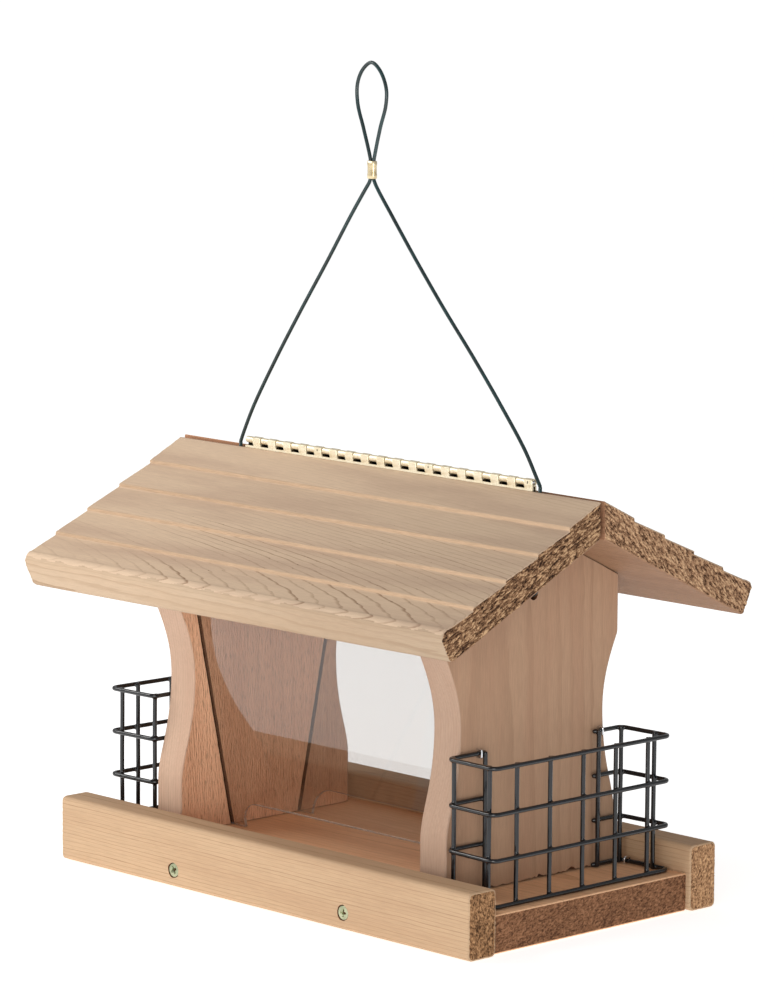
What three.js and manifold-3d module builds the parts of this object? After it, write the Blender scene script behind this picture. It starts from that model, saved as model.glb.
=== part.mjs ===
// Hanging hopper bird feeder in cedar: a floor between two rails, two shaped side panels, two leaning
// windows, a stepped roof in two halves with a piano hinge at the ridge, two wire suet cages and a
// hanging cable.
//
// Frame: millimetres, +Z up, +X along the ridge, front at -Y. The origin is on the ground, at the middle of
// the feeder's underside.

import * as THREE from 'three';
import { mergeVertices } from 'three/addons/utils/BufferGeometryUtils.js';
import Module from 'manifold-3d';

const wasm = await Module();
wasm.setup();

// ---------------------------------------------------------------- driving dimensions

const degrees = THREE.MathUtils.degToRad;

const GAP = 0.3; // left between pieces that touch or are cut to each other
const BOTH = [-1, 1]; // left then right for an end, front then rear for a slope

const RAIL = { length: 343, height: 38, thickness: 21, edgeRadius: 3 };
const FLOOR = { length: 336.6, width: 155.8, thickness: 22, edgeRadius: 1.5 };

const PANEL = {
  inner: 100.3, // inner face, from the middle of the feeder
  outer: 121.3,
  footHalfWidth: 67.4,
  footTop: 52, // height where the straight foot ends
  waistHalfWidth: 57.1,
  waistHeight: 113,
  shoulderHalfWidth: 68.6,
  shoulderHeight: 156,
  intoWaist: [[67.4, 68], [57.6, 80]], // control points of the two Bezier curves, [half width, height]
  outOfWaist: [[57, 129], [61.5, 141]],
  curveSteps: 7,
};

const ROOF = {
  length: 349.7,
  middleX: -1.15, // the roof sits a little towards the left end
  slope: degrees(25.8),
  slopeLength: 136.2,
  thickness: 19.4,
  ridgeHeight: 243.5,
  ridgeHalfGap: 1.95, // half the slot between the two plumb cuts
  courses: 5,
  stepDepth: 1.7,
  eaveRadius: 3,
};

const WINDOW = {
  lean: degrees(11.8), // from upright, outwards
  footY: 26.7, // middle of the sheet where it stands on the floor
  thickness: 2,
  height: 168.5, // along the sheet
  topRoom: 15, // the grooves run on past the sheet, out through the panel's top edge
  grooveDepth: 5,
  grooveClearance: 0.35, // on each face
  endClearance: 0.4,
  slotHalfWidth: 88,
  slotHeight: 15.6,
  slotRadius: 12,
  cornerRadius: 2,
  cornerSteps: 4,
};

const HINGE = {
  middleX: 1.6,
  length: 238.2,
  knuckles: 36,
  knuckleRadius: 2.2,
  knuckleBore: 1.6,
  knuckleSides: 8,
  pinRadius: 1.15,
  pinSides: 10,
  pinHeight: 248.2,
  leafThickness: 0.9,
  leafTop: 245.7,
  leafBottom: 229.2,
  neckTop: 246.7,
  screwHeight: 236,
  screwSpacing: 92,
};

const CAGE = {
  wireRadius: 1.3,
  wireSides: 6,
  rings: 4,
  pitch: 25.8,
  verticalPitch: 26.2,
  outerX: 160, // middle of the horizontal wires on the outer face
  outerHalfWidth: 70.5,
  flangeHalfWidth: 69,
  longFlangeEnd: 41, // half width at which the inward flanges end
  shortFlangeEnd: 47,
  weldInset: 2.2, // the uprights lie inside the horizontals and are welded to them
  sideWeldInset: 2.55,
  flangeEndInset: 1.4,
  uprightOverlap: 1.04, // how far the uprights run past the middle of the outer rings
  bendRadius: 4,
};
const CAGE_SHIFT = { left: 0.5, right: 1.5 }; // each cage sits a little off centre, towards the rear
const CAGE_GRID = { left: 1, right: 2 }; // and so does its grid of uprights

const STAPLE = {
  wireRadius: 0.6,
  sides: 6,
  legLength: 8,
  cornerRadius: 0.9,
  cornerSteps: 2,
  throatClearance: 0.4,
  topFromFlangeEnd: 4.5, // along the flange
  bottomX: 129,
};

const CABLE = { radius: 1.1, sides: 8 };
const TAIL = {
  holeRadius: 3, // through the side panel
  holeHeight: 185,
  height: 184.5, // the cable lies low in its hole
  bendRadius: 5,
  riseX: { left: -123.4, right: 123.6 },
  riseTop: 224.1, // above this the cable leans towards its exit
  insideEnd: 92,
};
const STOP = { inner: 93, outer: 99.9, radius: 2.3, sides: 12 };
const FERRULE = { x: -11.9, bottom: 409.2, top: 419.4, strandOffset: 1.2, wall: 0.6, arcSteps: 5 };
const PIVOT_HEIGHT = 245.8; // the cable bends here when it folds over the roof
const PIVOT_ROOM = 1.8; // from the fixed end of the cable to the pivot, more than the cable's radius

const RAIL_SCREW = {
  headRadius: 4,
  headDepth: 3,
  shankRadius: 2.1,
  length: 38,
  x: 71.5,
  height: 10,
  sink: 0.4,
};
const PANEL_SCREW = { headRadius: 4, headDepth: 3, shankRadius: 2.1, length: 45, y: 34, sink: 0.8 };
const ROOF_SCREW = {
  headRadius: 3.6,
  headDepth: 1.4,
  shankRadius: 1.9,
  length: 32,
  y: -40,
  tilt: degrees(15),
};
const POCKET = { radius: 4.3, length: 34, seatX: 104.4, seatHeight: 185 };
const HINGE_SCREW = { headRadius: 1.9, headDepth: 0.9, shankRadius: 1, length: 10 };
const SCREW_SIDES = 8;
const SCREW_TIP = 3; // length of the point
const SCREW_CLEARANCE = 0.3;
const SUNK_OPENING = 4; // how far a hole is cut on above a sunk head
const FLUSH_OPENING = 1;

// The cable above the ridge, in the plane y = 0: [x, z] from the left exit, round the loop, to the
// right exit.
const HANGER_ROUTE = [
  [-123.4, 246.4], [-120.2, 253.2], [-112.2, 268.3], [-92.5, 298.6], [-71.3, 328.7], [-49.5, 358.5],
  [-28.7, 387.8], [-17.7, 402.4], [-14, 407.3], [-13.1, 410], [-13.1, 418.6], [-14.1, 422.8],
  [-19.4, 438], [-24.2, 451.5], [-24.4, 463], [-20, 471.2], [-12.9, 475.4], [-6, 471.2],
  [-0.8, 461.5], [-0.9, 451.8], [-5.4, 438.6], [-9.8, 422.8], [-10.7, 418.6], [-10.7, 410],
  [-9.8, 407.3], [-6.7, 402.8], [3.8, 390.1], [25.5, 364.3], [48.1, 338.8], [71.7, 313.7],
  [93.9, 288.7], [112.9, 265.7], [122.2, 251.2], [125.2, 246.4],
];
const CABLE_STEP = 7.6; // longest straight step of the modelled cable

// ---------------------------------------------------------------- materials

const cedar = (color) => new THREE.MeshStandardMaterial({ color, roughness: 0.72, metalness: 0 });
const MATERIALS = {
  roofCedar: () => cedar(0xc9a585),
  panelCedar: () => cedar(0xb98d6c),
  railCedar: () => cedar(0xd9b083),
  floorCedar: () => cedar(0xa87550),
  clearSheet: () => new THREE.MeshStandardMaterial({
    color: 0xe6e8e8, roughness: 0.08, metalness: 0, transparent: true, opacity: 0.3,
  }),
  brass: () => new THREE.MeshStandardMaterial({ color: 0xe3cf98, roughness: 0.35, metalness: 0.9 }),
  blackVinyl: () => new THREE.MeshStandardMaterial({ color: 0x1d1f22, roughness: 0.35, metalness: 0 }),
  greenVinyl: () => new THREE.MeshStandardMaterial({ color: 0x15352f, roughness: 0.4, metalness: 0 }),
  zinc: () => new THREE.MeshStandardMaterial({ color: 0xb9b8a4, roughness: 0.35, metalness: 0.95 }),
};

// ---------------------------------------------------------------- geometry helpers

const X_AXIS = new THREE.Vector3(1, 0, 0);
const Y_AXIS = new THREE.Vector3(0, 1, 0);
const Z_AXIS = new THREE.Vector3(0, 0, 1);

// Corners are [x, y] or [x, y, radius]; a corner with a radius becomes an arc.
function roundedOutline(corners, arcSteps = 3) {
  const count = corners.length;
  return corners.flatMap(([x, y, radius = 0], index) => {
    const corner = new THREE.Vector2(x, y);
    if (radius === 0) return [corner];
    const towards = (other) => new THREE.Vector2(other[0], other[1]).sub(corner).normalize();
    const before = towards(corners[(index + count - 1) % count]);
    const after = towards(corners[(index + 1) % count]);
    const halfAngle = Math.acos(THREE.MathUtils.clamp(before.dot(after), -1, 1)) / 2;
    const start = corner.clone().addScaledVector(before, radius / Math.tan(halfAngle));
    const bisector = before.clone().add(after).normalize();
    const centre = corner.clone().addScaledVector(bisector, radius / Math.sin(halfAngle));
    const turn = Math.sign(after.cross(before)) * (Math.PI - 2 * halfAngle);
    return Array.from({ length: arcSteps + 1 }, (_, step) =>
      start.clone().rotateAround(centre, (turn * step) / arcSteps));
  });
}

// The outline lies in the YZ plane and is extruded along X.
function extrudeAlongX(points, fromX, toX) {
  const settings = { depth: toX - fromX, bevelEnabled: false };
  const geometry = new THREE.ExtrudeGeometry(new THREE.Shape(points), settings);
  geometry.applyMatrix4(new THREE.Matrix4().makeBasis(Y_AXIS, Z_AXIS, X_AXIS));
  return geometry.translate(fromX, 0, 0);
}

// A polyline whose own points are the rings of an extruded tube.
class WirePath extends THREE.Curve {
  constructor(points) {
    super();
    this.points = points;
  }

  getPoint(fraction, target = new THREE.Vector3()) {
    const place = fraction * (this.points.length - 1);
    const index = Math.min(Math.floor(place + 1e-9), this.points.length - 2);
    return target.lerpVectors(this.points[index], this.points[index + 1], place - index);
  }

  getPointAt(fraction, target) {
    return this.getPoint(fraction, target);
  }

  getTangentAt(fraction, target = new THREE.Vector3()) {
    const index = Math.round(fraction * (this.points.length - 1));
    const next = this.points[Math.min(index + 1, this.points.length - 1)];
    const here = this.points[index];
    const previous = this.points[Math.max(index - 1, 0)];
    const arriving = here.clone().sub(previous).normalize();
    const leaving = next.clone().sub(here).normalize();
    return target.copy(arriving).add(leaving).normalize();
  }
}

function wire(points, radius, sides) {
  const section = Array.from({ length: sides }, (_, side) => {
    const angle = (2 * Math.PI * (side + 0.5)) / sides;
    return new THREE.Vector2(radius * Math.cos(angle), radius * Math.sin(angle));
  });
  const settings = { steps: points.length - 1, bevelEnabled: false, extrudePath: new WirePath(points) };
  return new THREE.ExtrudeGeometry(new THREE.Shape(section), settings);
}

// Corners of an open route that lies in one plane; each inner corner is bent round a radius.
function bentRoute(corners, radius, arcSteps = 3) {
  return corners.flatMap((corner, index) => {
    if (index === 0 || index === corners.length - 1) return [corner.clone()];
    const before = corners[index - 1].clone().sub(corner).normalize();
    const after = corners[index + 1].clone().sub(corner).normalize();
    const turn = Math.PI - before.angleTo(after);
    const reach = radius * Math.tan(turn / 2);
    const start = corner.clone().addScaledVector(before, reach);
    const bisector = before.clone().add(after).normalize();
    const centre = corner.clone().addScaledVector(bisector, radius / Math.cos(turn / 2));
    const axis = after.clone().cross(before).normalize();
    const spoke = start.clone().sub(centre);
    return Array.from({ length: arcSteps + 1 }, (_, step) =>
      spoke.clone().applyAxisAngle(axis, (turn * step) / arcSteps).add(centre));
  });
}

function toSolid(geometry) {
  const bare = new THREE.BufferGeometry();
  bare.setAttribute('position', geometry.getAttribute('position').clone());
  if (geometry.index) bare.setIndex(geometry.index.clone());
  const merged = mergeVertices(bare, 1e-4);
  const corners = merged.index.array;
  const triVerts = [];
  for (let first = 0; first < corners.length; first += 3) {
    const [a, b, c] = [corners[first], corners[first + 1], corners[first + 2]];
    if (a !== b && b !== c && c !== a) triVerts.push(a, b, c);
  }
  return new wasm.Manifold(new wasm.Mesh({
    numProp: 3,
    vertProperties: new Float32Array(merged.getAttribute('position').array),
    triVerts: Uint32Array.from(triVerts),
  }));
}

function toGeometry(solid) {
  const mesh = solid.getMesh();
  const geometry = new THREE.BufferGeometry();
  geometry.setAttribute('position', new THREE.BufferAttribute(mesh.vertProperties, 3));
  geometry.setIndex(new THREE.BufferAttribute(mesh.triVerts, 1));
  geometry.computeVertexNormals();
  return geometry;
}

const joinAll = (geometries) => toGeometry(geometries.map(toSolid).reduce((all, next) => all.add(next)));

function cutAll(body, cutters) {
  return toGeometry(cutters.map(toSolid).reduce((left, cutter) => left.subtract(cutter), toSolid(body)));
}

const feeder = new THREE.Group();

function add(name, geometry, material, parent = feeder) {
  const mesh = new THREE.Mesh(geometry, material());
  mesh.name = name;
  parent.add(mesh);
  return mesh;
}

// ---------------------------------------------------------------- fasteners

// A countersunk screw along +Z, with the face of its head at z = 0 and its point at z = length.
function screwGeometry(screw, clearance = 0, openAbove = 0) {
  const head = screw.headRadius + clearance;
  const shank = screw.shankRadius + clearance;
  const profile = [
    [0, -openAbove],
    [head, -openAbove],
    ...(openAbove + clearance > 0 ? [[head, clearance]] : []),
    [shank, screw.headDepth + clearance],
    [shank, screw.length - SCREW_TIP],
    [0, screw.length + clearance],
  ];
  const points = profile.map(([radius, z]) => new THREE.Vector2(radius, z));
  return new THREE.LatheGeometry(points, SCREW_SIDES).rotateX(Math.PI / 2);
}

// Turns a piece made along +Z to run along `direction` from `start`.
function placed(geometry, start, direction) {
  const turn = new THREE.Quaternion().setFromUnitVectors(Z_AXIS, direction.clone().normalize());
  return geometry.clone().applyQuaternion(turn).translate(start.x, start.y, start.z);
}

// The hole for a screw, cut on past its head by `openAbove` so that it breaks the surface cleanly.
function screwHole(screw, { start, direction }, openAbove) {
  return placed(screwGeometry(screw, SCREW_CLEARANCE, openAbove), start, direction);
}

function addScrew(name, screw, { start, direction }) {
  const mesh = add(name, screwGeometry(screw), MATERIALS.zinc);
  mesh.position.copy(start);
  mesh.quaternion.setFromUnitVectors(Z_AXIS, direction.clone().normalize());
}

const railOuterY = FLOOR.width / 2 + RAIL.thickness;

function railScrew(slope, end) {
  const headY = railOuterY - RAIL_SCREW.sink;
  return {
    start: new THREE.Vector3(end * RAIL_SCREW.x, slope * headY, RAIL_SCREW.height),
    direction: new THREE.Vector3(0, -slope, 0),
  };
}

function panelScrew(slope, end) {
  const middle = (PANEL.inner + PANEL.outer) / 2;
  return {
    start: new THREE.Vector3(end * middle, slope * PANEL_SCREW.y, PANEL_SCREW.sink),
    direction: Z_AXIS,
  };
}

function roofScrew(end) {
  return {
    start: new THREE.Vector3(end * POCKET.seatX, ROOF_SCREW.y, POCKET.seatHeight),
    direction: new THREE.Vector3(end * Math.sin(ROOF_SCREW.tilt), 0, Math.cos(ROOF_SCREW.tilt)),
  };
}

function hingeScrew(slope, place) {
  const face = ROOF.ridgeHalfGap - GAP - HINGE.leafThickness;
  return {
    start: new THREE.Vector3(HINGE.middleX + place * HINGE.screwSpacing, slope * face, HINGE.screwHeight),
    direction: new THREE.Vector3(0, slope, 0),
  };
}

const HINGE_SCREW_PLACES = [-1, 0, 1];
const slopeName = (slope) => (slope < 0 ? 'front' : 'rear');
const endName = (end) => (end < 0 ? 'left' : 'right');

// ---------------------------------------------------------------- suet cages and their staples

const ringHeight = (ring) => FLOOR.thickness + GAP + CAGE.wireRadius + ring * CAGE.pitch;
const flangeX = PANEL.outer + GAP + CAGE.wireRadius;

// Plan points of a cage's horizontal wire, from the front flange round to the rear flange.
function cagePlan(end) {
  const shift = CAGE_SHIFT[endName(end)];
  return [
    [flangeX, -CAGE.longFlangeEnd],
    [flangeX, -CAGE.flangeHalfWidth],
    [CAGE.outerX, -CAGE.outerHalfWidth],
    [CAGE.outerX, CAGE.outerHalfWidth],
    [flangeX, CAGE.flangeHalfWidth],
    [flangeX, CAGE.shortFlangeEnd],
  ].map(([x, y]) => [end * x, y + shift]);
}

// Plan points of the uprights: five on the outer face, one on each side, one in each inner bend and one
// on each flange.
function uprightPlan(end) {
  const shift = CAGE_SHIFT[endName(end)];
  const grid = CAGE_GRID[endName(end)];
  const inset = CAGE.weldInset;
  const outer = [-2, -1, 0, 1, 2].map((step) => [CAGE.outerX - inset, grid + step * CAGE.verticalPitch]);
  const sides = BOTH.map((slope) => {
    const lastOuter = slope * grid + 2 * CAGE.verticalPitch;
    const pastCorner = CAGE.verticalPitch - (CAGE.outerHalfWidth - lastOuter);
    return [CAGE.outerX - pastCorner, slope * (CAGE.outerHalfWidth - CAGE.sideWeldInset)];
  });
  const bends = BOTH.map((slope) => [flangeX + inset, slope * (CAGE.flangeHalfWidth - inset)]);
  const flanges = [
    [flangeX + inset, -CAGE.longFlangeEnd - CAGE.flangeEndInset],
    [flangeX + inset, CAGE.shortFlangeEnd + CAGE.flangeEndInset],
  ];
  return [...outer, ...sides, ...bends, ...flanges].map(([x, y]) => [end * x, y + shift]);
}

function cageGeometry(end) {
  const rings = Array.from({ length: CAGE.rings }, (_, ring) => {
    const corners = cagePlan(end).map(([x, y]) => new THREE.Vector3(x, y, ringHeight(ring)));
    return wire(bentRoute(corners, CAGE.bendRadius), CAGE.wireRadius, CAGE.wireSides);
  });
  const bottom = ringHeight(0) - CAGE.uprightOverlap;
  const top = ringHeight(CAGE.rings - 1) + CAGE.uprightOverlap;
  const uprights = uprightPlan(end).map(([x, y]) => {
    const ends = [new THREE.Vector3(x, y, bottom), new THREE.Vector3(x, y, top)];
    return wire(ends, CAGE.wireRadius, CAGE.wireSides);
  });
  return joinAll([...rings, ...uprights]);
}

const stapleReach = CAGE.wireRadius + STAPLE.throatClearance + STAPLE.wireRadius;

// Corner points of a staple: over a flange wire into the panel, or over the lowest wire into the floor.
function staplePoints(end, slope, level) {
  const shift = CAGE_SHIFT[endName(end)];
  if (level === 'top') {
    const flangeEnd = slope < 0 ? CAGE.longFlangeEnd : CAGE.shortFlangeEnd;
    const y = slope * (flangeEnd + STAPLE.topFromFlangeEnd) + shift;
    const z = ringHeight(CAGE.rings - 1);
    const crownX = flangeX + stapleReach;
    const legX = PANEL.outer - STAPLE.legLength;
    return [[legX, -1], [crownX, -1], [crownX, 1], [legX, 1]].map(([x, side]) =>
      new THREE.Vector3(end * x, y, z + side * stapleReach));
  }
  const y = slope * CAGE.flangeHalfWidth + shift;
  const crownZ = ringHeight(0) + stapleReach;
  const legZ = FLOOR.thickness - STAPLE.legLength;
  return [[legZ, -1], [crownZ, -1], [crownZ, 1], [legZ, 1]].map(([z, side]) =>
    new THREE.Vector3(end * STAPLE.bottomX, y + side * stapleReach, z));
}

function stapleGeometry(end, slope, level, clearance = 0) {
  const route = bentRoute(staplePoints(end, slope, level), STAPLE.cornerRadius, STAPLE.cornerSteps);
  if (clearance > 0) {
    route[0].addScaledVector(route[1].clone().sub(route[0]).normalize(), -clearance);
    route.at(-1).addScaledVector(route.at(-2).clone().sub(route.at(-1)).normalize(), -clearance);
  }
  return wire(route, STAPLE.wireRadius + clearance, STAPLE.sides);
}

const stapleHole = (end, slope, level) => stapleGeometry(end, slope, level, GAP);

// ---------------------------------------------------------------- floor and rails

function floorGeometry() {
  const { width, thickness, edgeRadius } = FLOOR;
  const half = width / 2 - GAP;
  const outline = [[-half, 0, edgeRadius], [half, 0, edgeRadius], [half, thickness], [-half, thickness]];
  const board = extrudeAlongX(roundedOutline(outline), -FLOOR.length / 2, FLOOR.length / 2);
  const holes = BOTH.flatMap((slope) => BOTH.flatMap((end) => [
    screwHole(RAIL_SCREW, railScrew(slope, end), SUNK_OPENING),
    screwHole(PANEL_SCREW, panelScrew(slope, end), SUNK_OPENING),
    stapleHole(end, slope, 'bottom'),
  ]));
  return cutAll(board, holes);
}

function railGeometry(slope) {
  const inner = FLOOR.width / 2;
  const outer = inner + RAIL.thickness;
  const corners = [[inner, 0], [outer, 0], [outer, RAIL.height], [inner, RAIL.height]]
    .map(([y, z]) => [slope * y, z, RAIL.edgeRadius]);
  const board = extrudeAlongX(roundedOutline(corners), -RAIL.length / 2, RAIL.length / 2);
  return cutAll(board, BOTH.map((end) => screwHole(RAIL_SCREW, railScrew(slope, end), SUNK_OPENING)));
}

// ---------------------------------------------------------------- side panels

// Height of the roof's underside over a point this far from the ridge line.
function roofUndersideAt(y) {
  const atRidge = ROOF.ridgeHeight - ROOF.thickness / Math.cos(ROOF.slope);
  return atRidge - (Math.abs(y) - ROOF.ridgeHalfGap) * Math.tan(ROOF.slope);
}

function panelOutline() {
  const foot = new THREE.Vector2(PANEL.footHalfWidth, PANEL.footTop);
  const waist = new THREE.Vector2(PANEL.waistHalfWidth, PANEL.waistHeight);
  const shoulder = new THREE.Vector2(PANEL.shoulderHalfWidth, PANEL.shoulderHeight);
  const controls = (points) => points.map(([x, y]) => new THREE.Vector2(x, y));
  const intoWaist = new THREE.CubicBezierCurve(foot, ...controls(PANEL.intoWaist), waist);
  const outOfWaist = new THREE.CubicBezierCurve(waist, ...controls(PANEL.outOfWaist), shoulder);
  const half = [
    new THREE.Vector2(foot.x, FLOOR.thickness + GAP),
    ...intoWaist.getPoints(PANEL.curveSteps),
    ...outOfWaist.getPoints(PANEL.curveSteps).slice(1),
    new THREE.Vector2(shoulder.x, roofUndersideAt(shoulder.x) - GAP),
  ];
  const apex = new THREE.Vector2(0, roofUndersideAt(0) - GAP);
  const mirrored = half.map((point) => new THREE.Vector2(-point.x, point.y)).reverse();
  return [...half, apex, ...mirrored];
}

function grooveCutter(slope, end) {
  const width = WINDOW.thickness + 2 * WINDOW.grooveClearance;
  const depth = 2 * WINDOW.grooveDepth;
  const length = 2 * (WINDOW.height + WINDOW.topRoom);
  return new THREE.BoxGeometry(depth, width, length)
    .rotateX(-slope * WINDOW.lean)
    .translate(end * PANEL.inner, slope * WINDOW.footY, FLOOR.thickness);
}

function panelGeometry(end) {
  const [fromX, toX] = end < 0 ? [-PANEL.outer, -PANEL.inner] : [PANEL.inner, PANEL.outer];
  const board = extrudeAlongX(panelOutline(), fromX, toX);
  const cableHole = new THREE.CylinderGeometry(TAIL.holeRadius, TAIL.holeRadius, PANEL.outer, SCREW_SIDES)
    .rotateZ(Math.PI / 2)
    .translate(end * PANEL.outer, 0, TAIL.holeHeight);
  const pocket = new THREE.CylinderGeometry(POCKET.radius, POCKET.radius, POCKET.length, SCREW_SIDES)
    .rotateX(Math.PI / 2)
    .translate(0, 0, -POCKET.length / 2);
  const fixing = roofScrew(end);
  const pairs = BOTH.flatMap((slope) => [
    grooveCutter(slope, end),
    screwHole(PANEL_SCREW, panelScrew(slope, end), SUNK_OPENING),
    stapleHole(end, slope, 'top'),
  ]);
  return cutAll(board, [
    ...pairs,
    cableHole,
    placed(pocket, fixing.start, fixing.direction),
    screwHole(ROOF_SCREW, fixing, FLUSH_OPENING),
  ]);
}

// ---------------------------------------------------------------- windows

function windowGeometry() {
  const halfLength = PANEL.inner + WINDOW.grooveDepth - WINDOW.endClearance;
  const { slotHalfWidth, slotHeight, slotRadius, height, cornerRadius, cornerSteps } = WINDOW;
  const outline = roundedOutline([
    [-halfLength, 0], [-slotHalfWidth, 0], [-slotHalfWidth, slotHeight, slotRadius],
    [slotHalfWidth, slotHeight, slotRadius], [slotHalfWidth, 0], [halfLength, 0],
    [halfLength, height, cornerRadius], [-halfLength, height, cornerRadius],
  ], cornerSteps);
  const settings = { depth: WINDOW.thickness, bevelEnabled: false };
  return new THREE.ExtrudeGeometry(new THREE.Shape(outline), settings)
    .rotateX(Math.PI / 2)
    .translate(0, WINDOW.thickness / 2, 0);
}

function addWindow(slope) {
  const mesh = add(`${slopeName(slope)}_window`, windowGeometry(), MATERIALS.clearSheet);
  const cornerDrop = (WINDOW.thickness / 2) * Math.sin(WINDOW.lean);
  mesh.position.set(0, slope * WINDOW.footY, FLOOR.thickness + GAP + cornerDrop);
  mesh.rotation.x = -slope * WINDOW.lean;
}

// ---------------------------------------------------------------- roof

function roofOutline(slope) {
  const along = new THREE.Vector2(Math.cos(ROOF.slope), -Math.sin(ROOF.slope));
  const upwards = new THREE.Vector2(Math.sin(ROOF.slope), Math.cos(ROOF.slope));
  const ridge = new THREE.Vector2(ROOF.ridgeHalfGap, ROOF.ridgeHeight);
  const onTop = (distance) => ridge.clone().addScaledVector(along, distance);
  const course = ROOF.slopeLength / ROOF.courses;
  const corners = [[ridge.x, ridge.y]];
  for (let step = 1; step < ROOF.courses; step += 1) {
    const lip = onTop(step * course);
    const below = lip.clone().addScaledVector(upwards, -ROOF.stepDepth);
    corners.push([lip.x, lip.y], [below.x, below.y]);
  }
  const eave = onTop(ROOF.slopeLength);
  const drip = eave.clone().addScaledVector(upwards, -ROOF.thickness);
  corners.push([eave.x, eave.y, ROOF.eaveRadius], [drip.x, drip.y, ROOF.eaveRadius]);
  corners.push([ridge.x, roofUndersideAt(ridge.x)]);
  return roundedOutline(corners.map(([y, z, radius]) => [slope * y, z, radius]));
}

function roofGeometry(slope) {
  const board = extrudeAlongX(roofOutline(slope), -ROOF.length / 2, ROOF.length / 2)
    .translate(ROOF.middleX, 0, 0);
  const hingeHoles = HINGE_SCREW_PLACES.map((place) =>
    screwHole(HINGE_SCREW, hingeScrew(slope, place), FLUSH_OPENING));
  const fixedEnds = slope < 0 ? BOTH : []; // only the front half is screwed down
  const roofHoles = fixedEnds.map((end) => screwHole(ROOF_SCREW, roofScrew(end), FLUSH_OPENING));
  return cutAll(board, [...hingeHoles, ...roofHoles]);
}

// ---------------------------------------------------------------- piano hinge

function hingeLeafGeometry(slope) {
  const outerY = ROOF.ridgeHalfGap - GAP;
  const innerY = outerY - HINGE.leafThickness;
  const strip = (bottom, top) => [[innerY, bottom], [outerY, bottom], [outerY, top], [innerY, top]]
    .map(([y, z]) => new THREE.Vector2(slope * y, z));
  const circle = (radius) => Array.from({ length: HINGE.knuckleSides }, (_, side) => {
    const angle = (2 * Math.PI * (side + 0.5)) / HINGE.knuckleSides;
    return new THREE.Vector2(radius * Math.cos(angle), HINGE.pinHeight + radius * Math.sin(angle));
  });
  const startX = HINGE.middleX - HINGE.length / 2;
  const pitch = HINGE.length / HINGE.knuckles;
  const ring = new THREE.Shape(circle(HINGE.knuckleRadius));
  ring.holes.push(new THREE.Path(circle(HINGE.knuckleBore)));
  const pieces = [extrudeAlongX(strip(HINGE.leafBottom, HINGE.leafTop), startX, startX + HINGE.length)];
  // The rear leaf has the knuckle at the left end, the front leaf the one at the right.
  const first = slope < 0 ? 1 : 0;
  for (let knuckle = first; knuckle < HINGE.knuckles; knuckle += 2) {
    const fromX = startX + knuckle * pitch + GAP / 2;
    const toX = startX + (knuckle + 1) * pitch - GAP / 2;
    const barrel = new THREE.ExtrudeGeometry(ring, { depth: toX - fromX, bevelEnabled: false })
      .applyMatrix4(new THREE.Matrix4().makeBasis(Y_AXIS, Z_AXIS, X_AXIS))
      .translate(fromX, 0, 0);
    pieces.push(barrel, extrudeAlongX(strip(HINGE.leafTop - GAP, HINGE.neckTop), fromX, toX));
  }
  const holes = HINGE_SCREW_PLACES.map((place) =>
    screwHole(HINGE_SCREW, hingeScrew(slope, place), FLUSH_OPENING));
  return cutAll(joinAll(pieces), holes);
}

function hingePinGeometry() {
  const length = HINGE.length - 2 * GAP;
  return new THREE.CylinderGeometry(HINGE.pinRadius, HINGE.pinRadius, length, HINGE.pinSides)
    .rotateZ(Math.PI / 2)
    .translate(HINGE.middleX, 0, HINGE.pinHeight);
}

// ---------------------------------------------------------------- cable

const inRidgePlane = ([x, z]) => new THREE.Vector3(x, 0, z);

function hangerGeometry() {
  const curve = new THREE.CatmullRomCurve3(HANGER_ROUTE.map(inRidgePlane), false, 'centripetal');
  const spans = HANGER_ROUTE.length - 1;
  const points = [curve.getPoint(0)];
  for (let span = 0; span < spans; span += 1) {
    const here = curve.getPoint(span / spans);
    const there = curve.getPoint((span + 1) / spans);
    const steps = Math.ceil(here.distanceTo(there) / CABLE_STEP);
    for (let step = 1; step <= steps; step += 1) points.push(curve.getPoint((span + step / steps) / spans));
  }
  return wire(points, CABLE.radius, CABLE.sides);
}

function tailGeometry(end) {
  const [exitX] = end < 0 ? HANGER_ROUTE[0] : HANGER_ROUTE.at(-1);
  const riseX = TAIL.riseX[endName(end)];
  const corners = [
    [end * TAIL.insideEnd, TAIL.height],
    [riseX, TAIL.height],
    [riseX, TAIL.riseTop],
    [exitX, PIVOT_HEIGHT - PIVOT_ROOM],
  ];
  return wire(bentRoute(corners.map(inRidgePlane), TAIL.bendRadius), CABLE.radius, CABLE.sides);
}

function stopGeometry(end) {
  const bore = CABLE.radius + GAP;
  const { inner, outer, radius } = STOP;
  const profile = [[bore, inner], [radius, inner], [radius, outer], [bore, outer], [bore, inner]]
    .map(([fromAxis, x]) => new THREE.Vector2(fromAxis, x));
  return new THREE.LatheGeometry(profile, STOP.sides)
    .rotateZ(-end * Math.PI / 2)
    .translate(0, 0, TAIL.height);
}

function ferruleGeometry() {
  const stadium = (radius) => BOTH.flatMap((end) =>
    Array.from({ length: FERRULE.arcSteps + 1 }, (_, step) => {
      const angle = (end < 0 ? Math.PI / 2 : -Math.PI / 2) + (Math.PI * step) / FERRULE.arcSteps;
      const x = FERRULE.x + end * FERRULE.strandOffset + radius * Math.cos(angle);
      return new THREE.Vector2(x, radius * Math.sin(angle));
    }));
  const bore = CABLE.radius + GAP;
  const sleeve = new THREE.Shape(stadium(bore + FERRULE.wall));
  sleeve.holes.push(new THREE.Path(stadium(bore)));
  return new THREE.ExtrudeGeometry(sleeve, { depth: FERRULE.top - FERRULE.bottom, bevelEnabled: false })
    .translate(0, 0, FERRULE.bottom);
}

// ---------------------------------------------------------------- assembly

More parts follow.
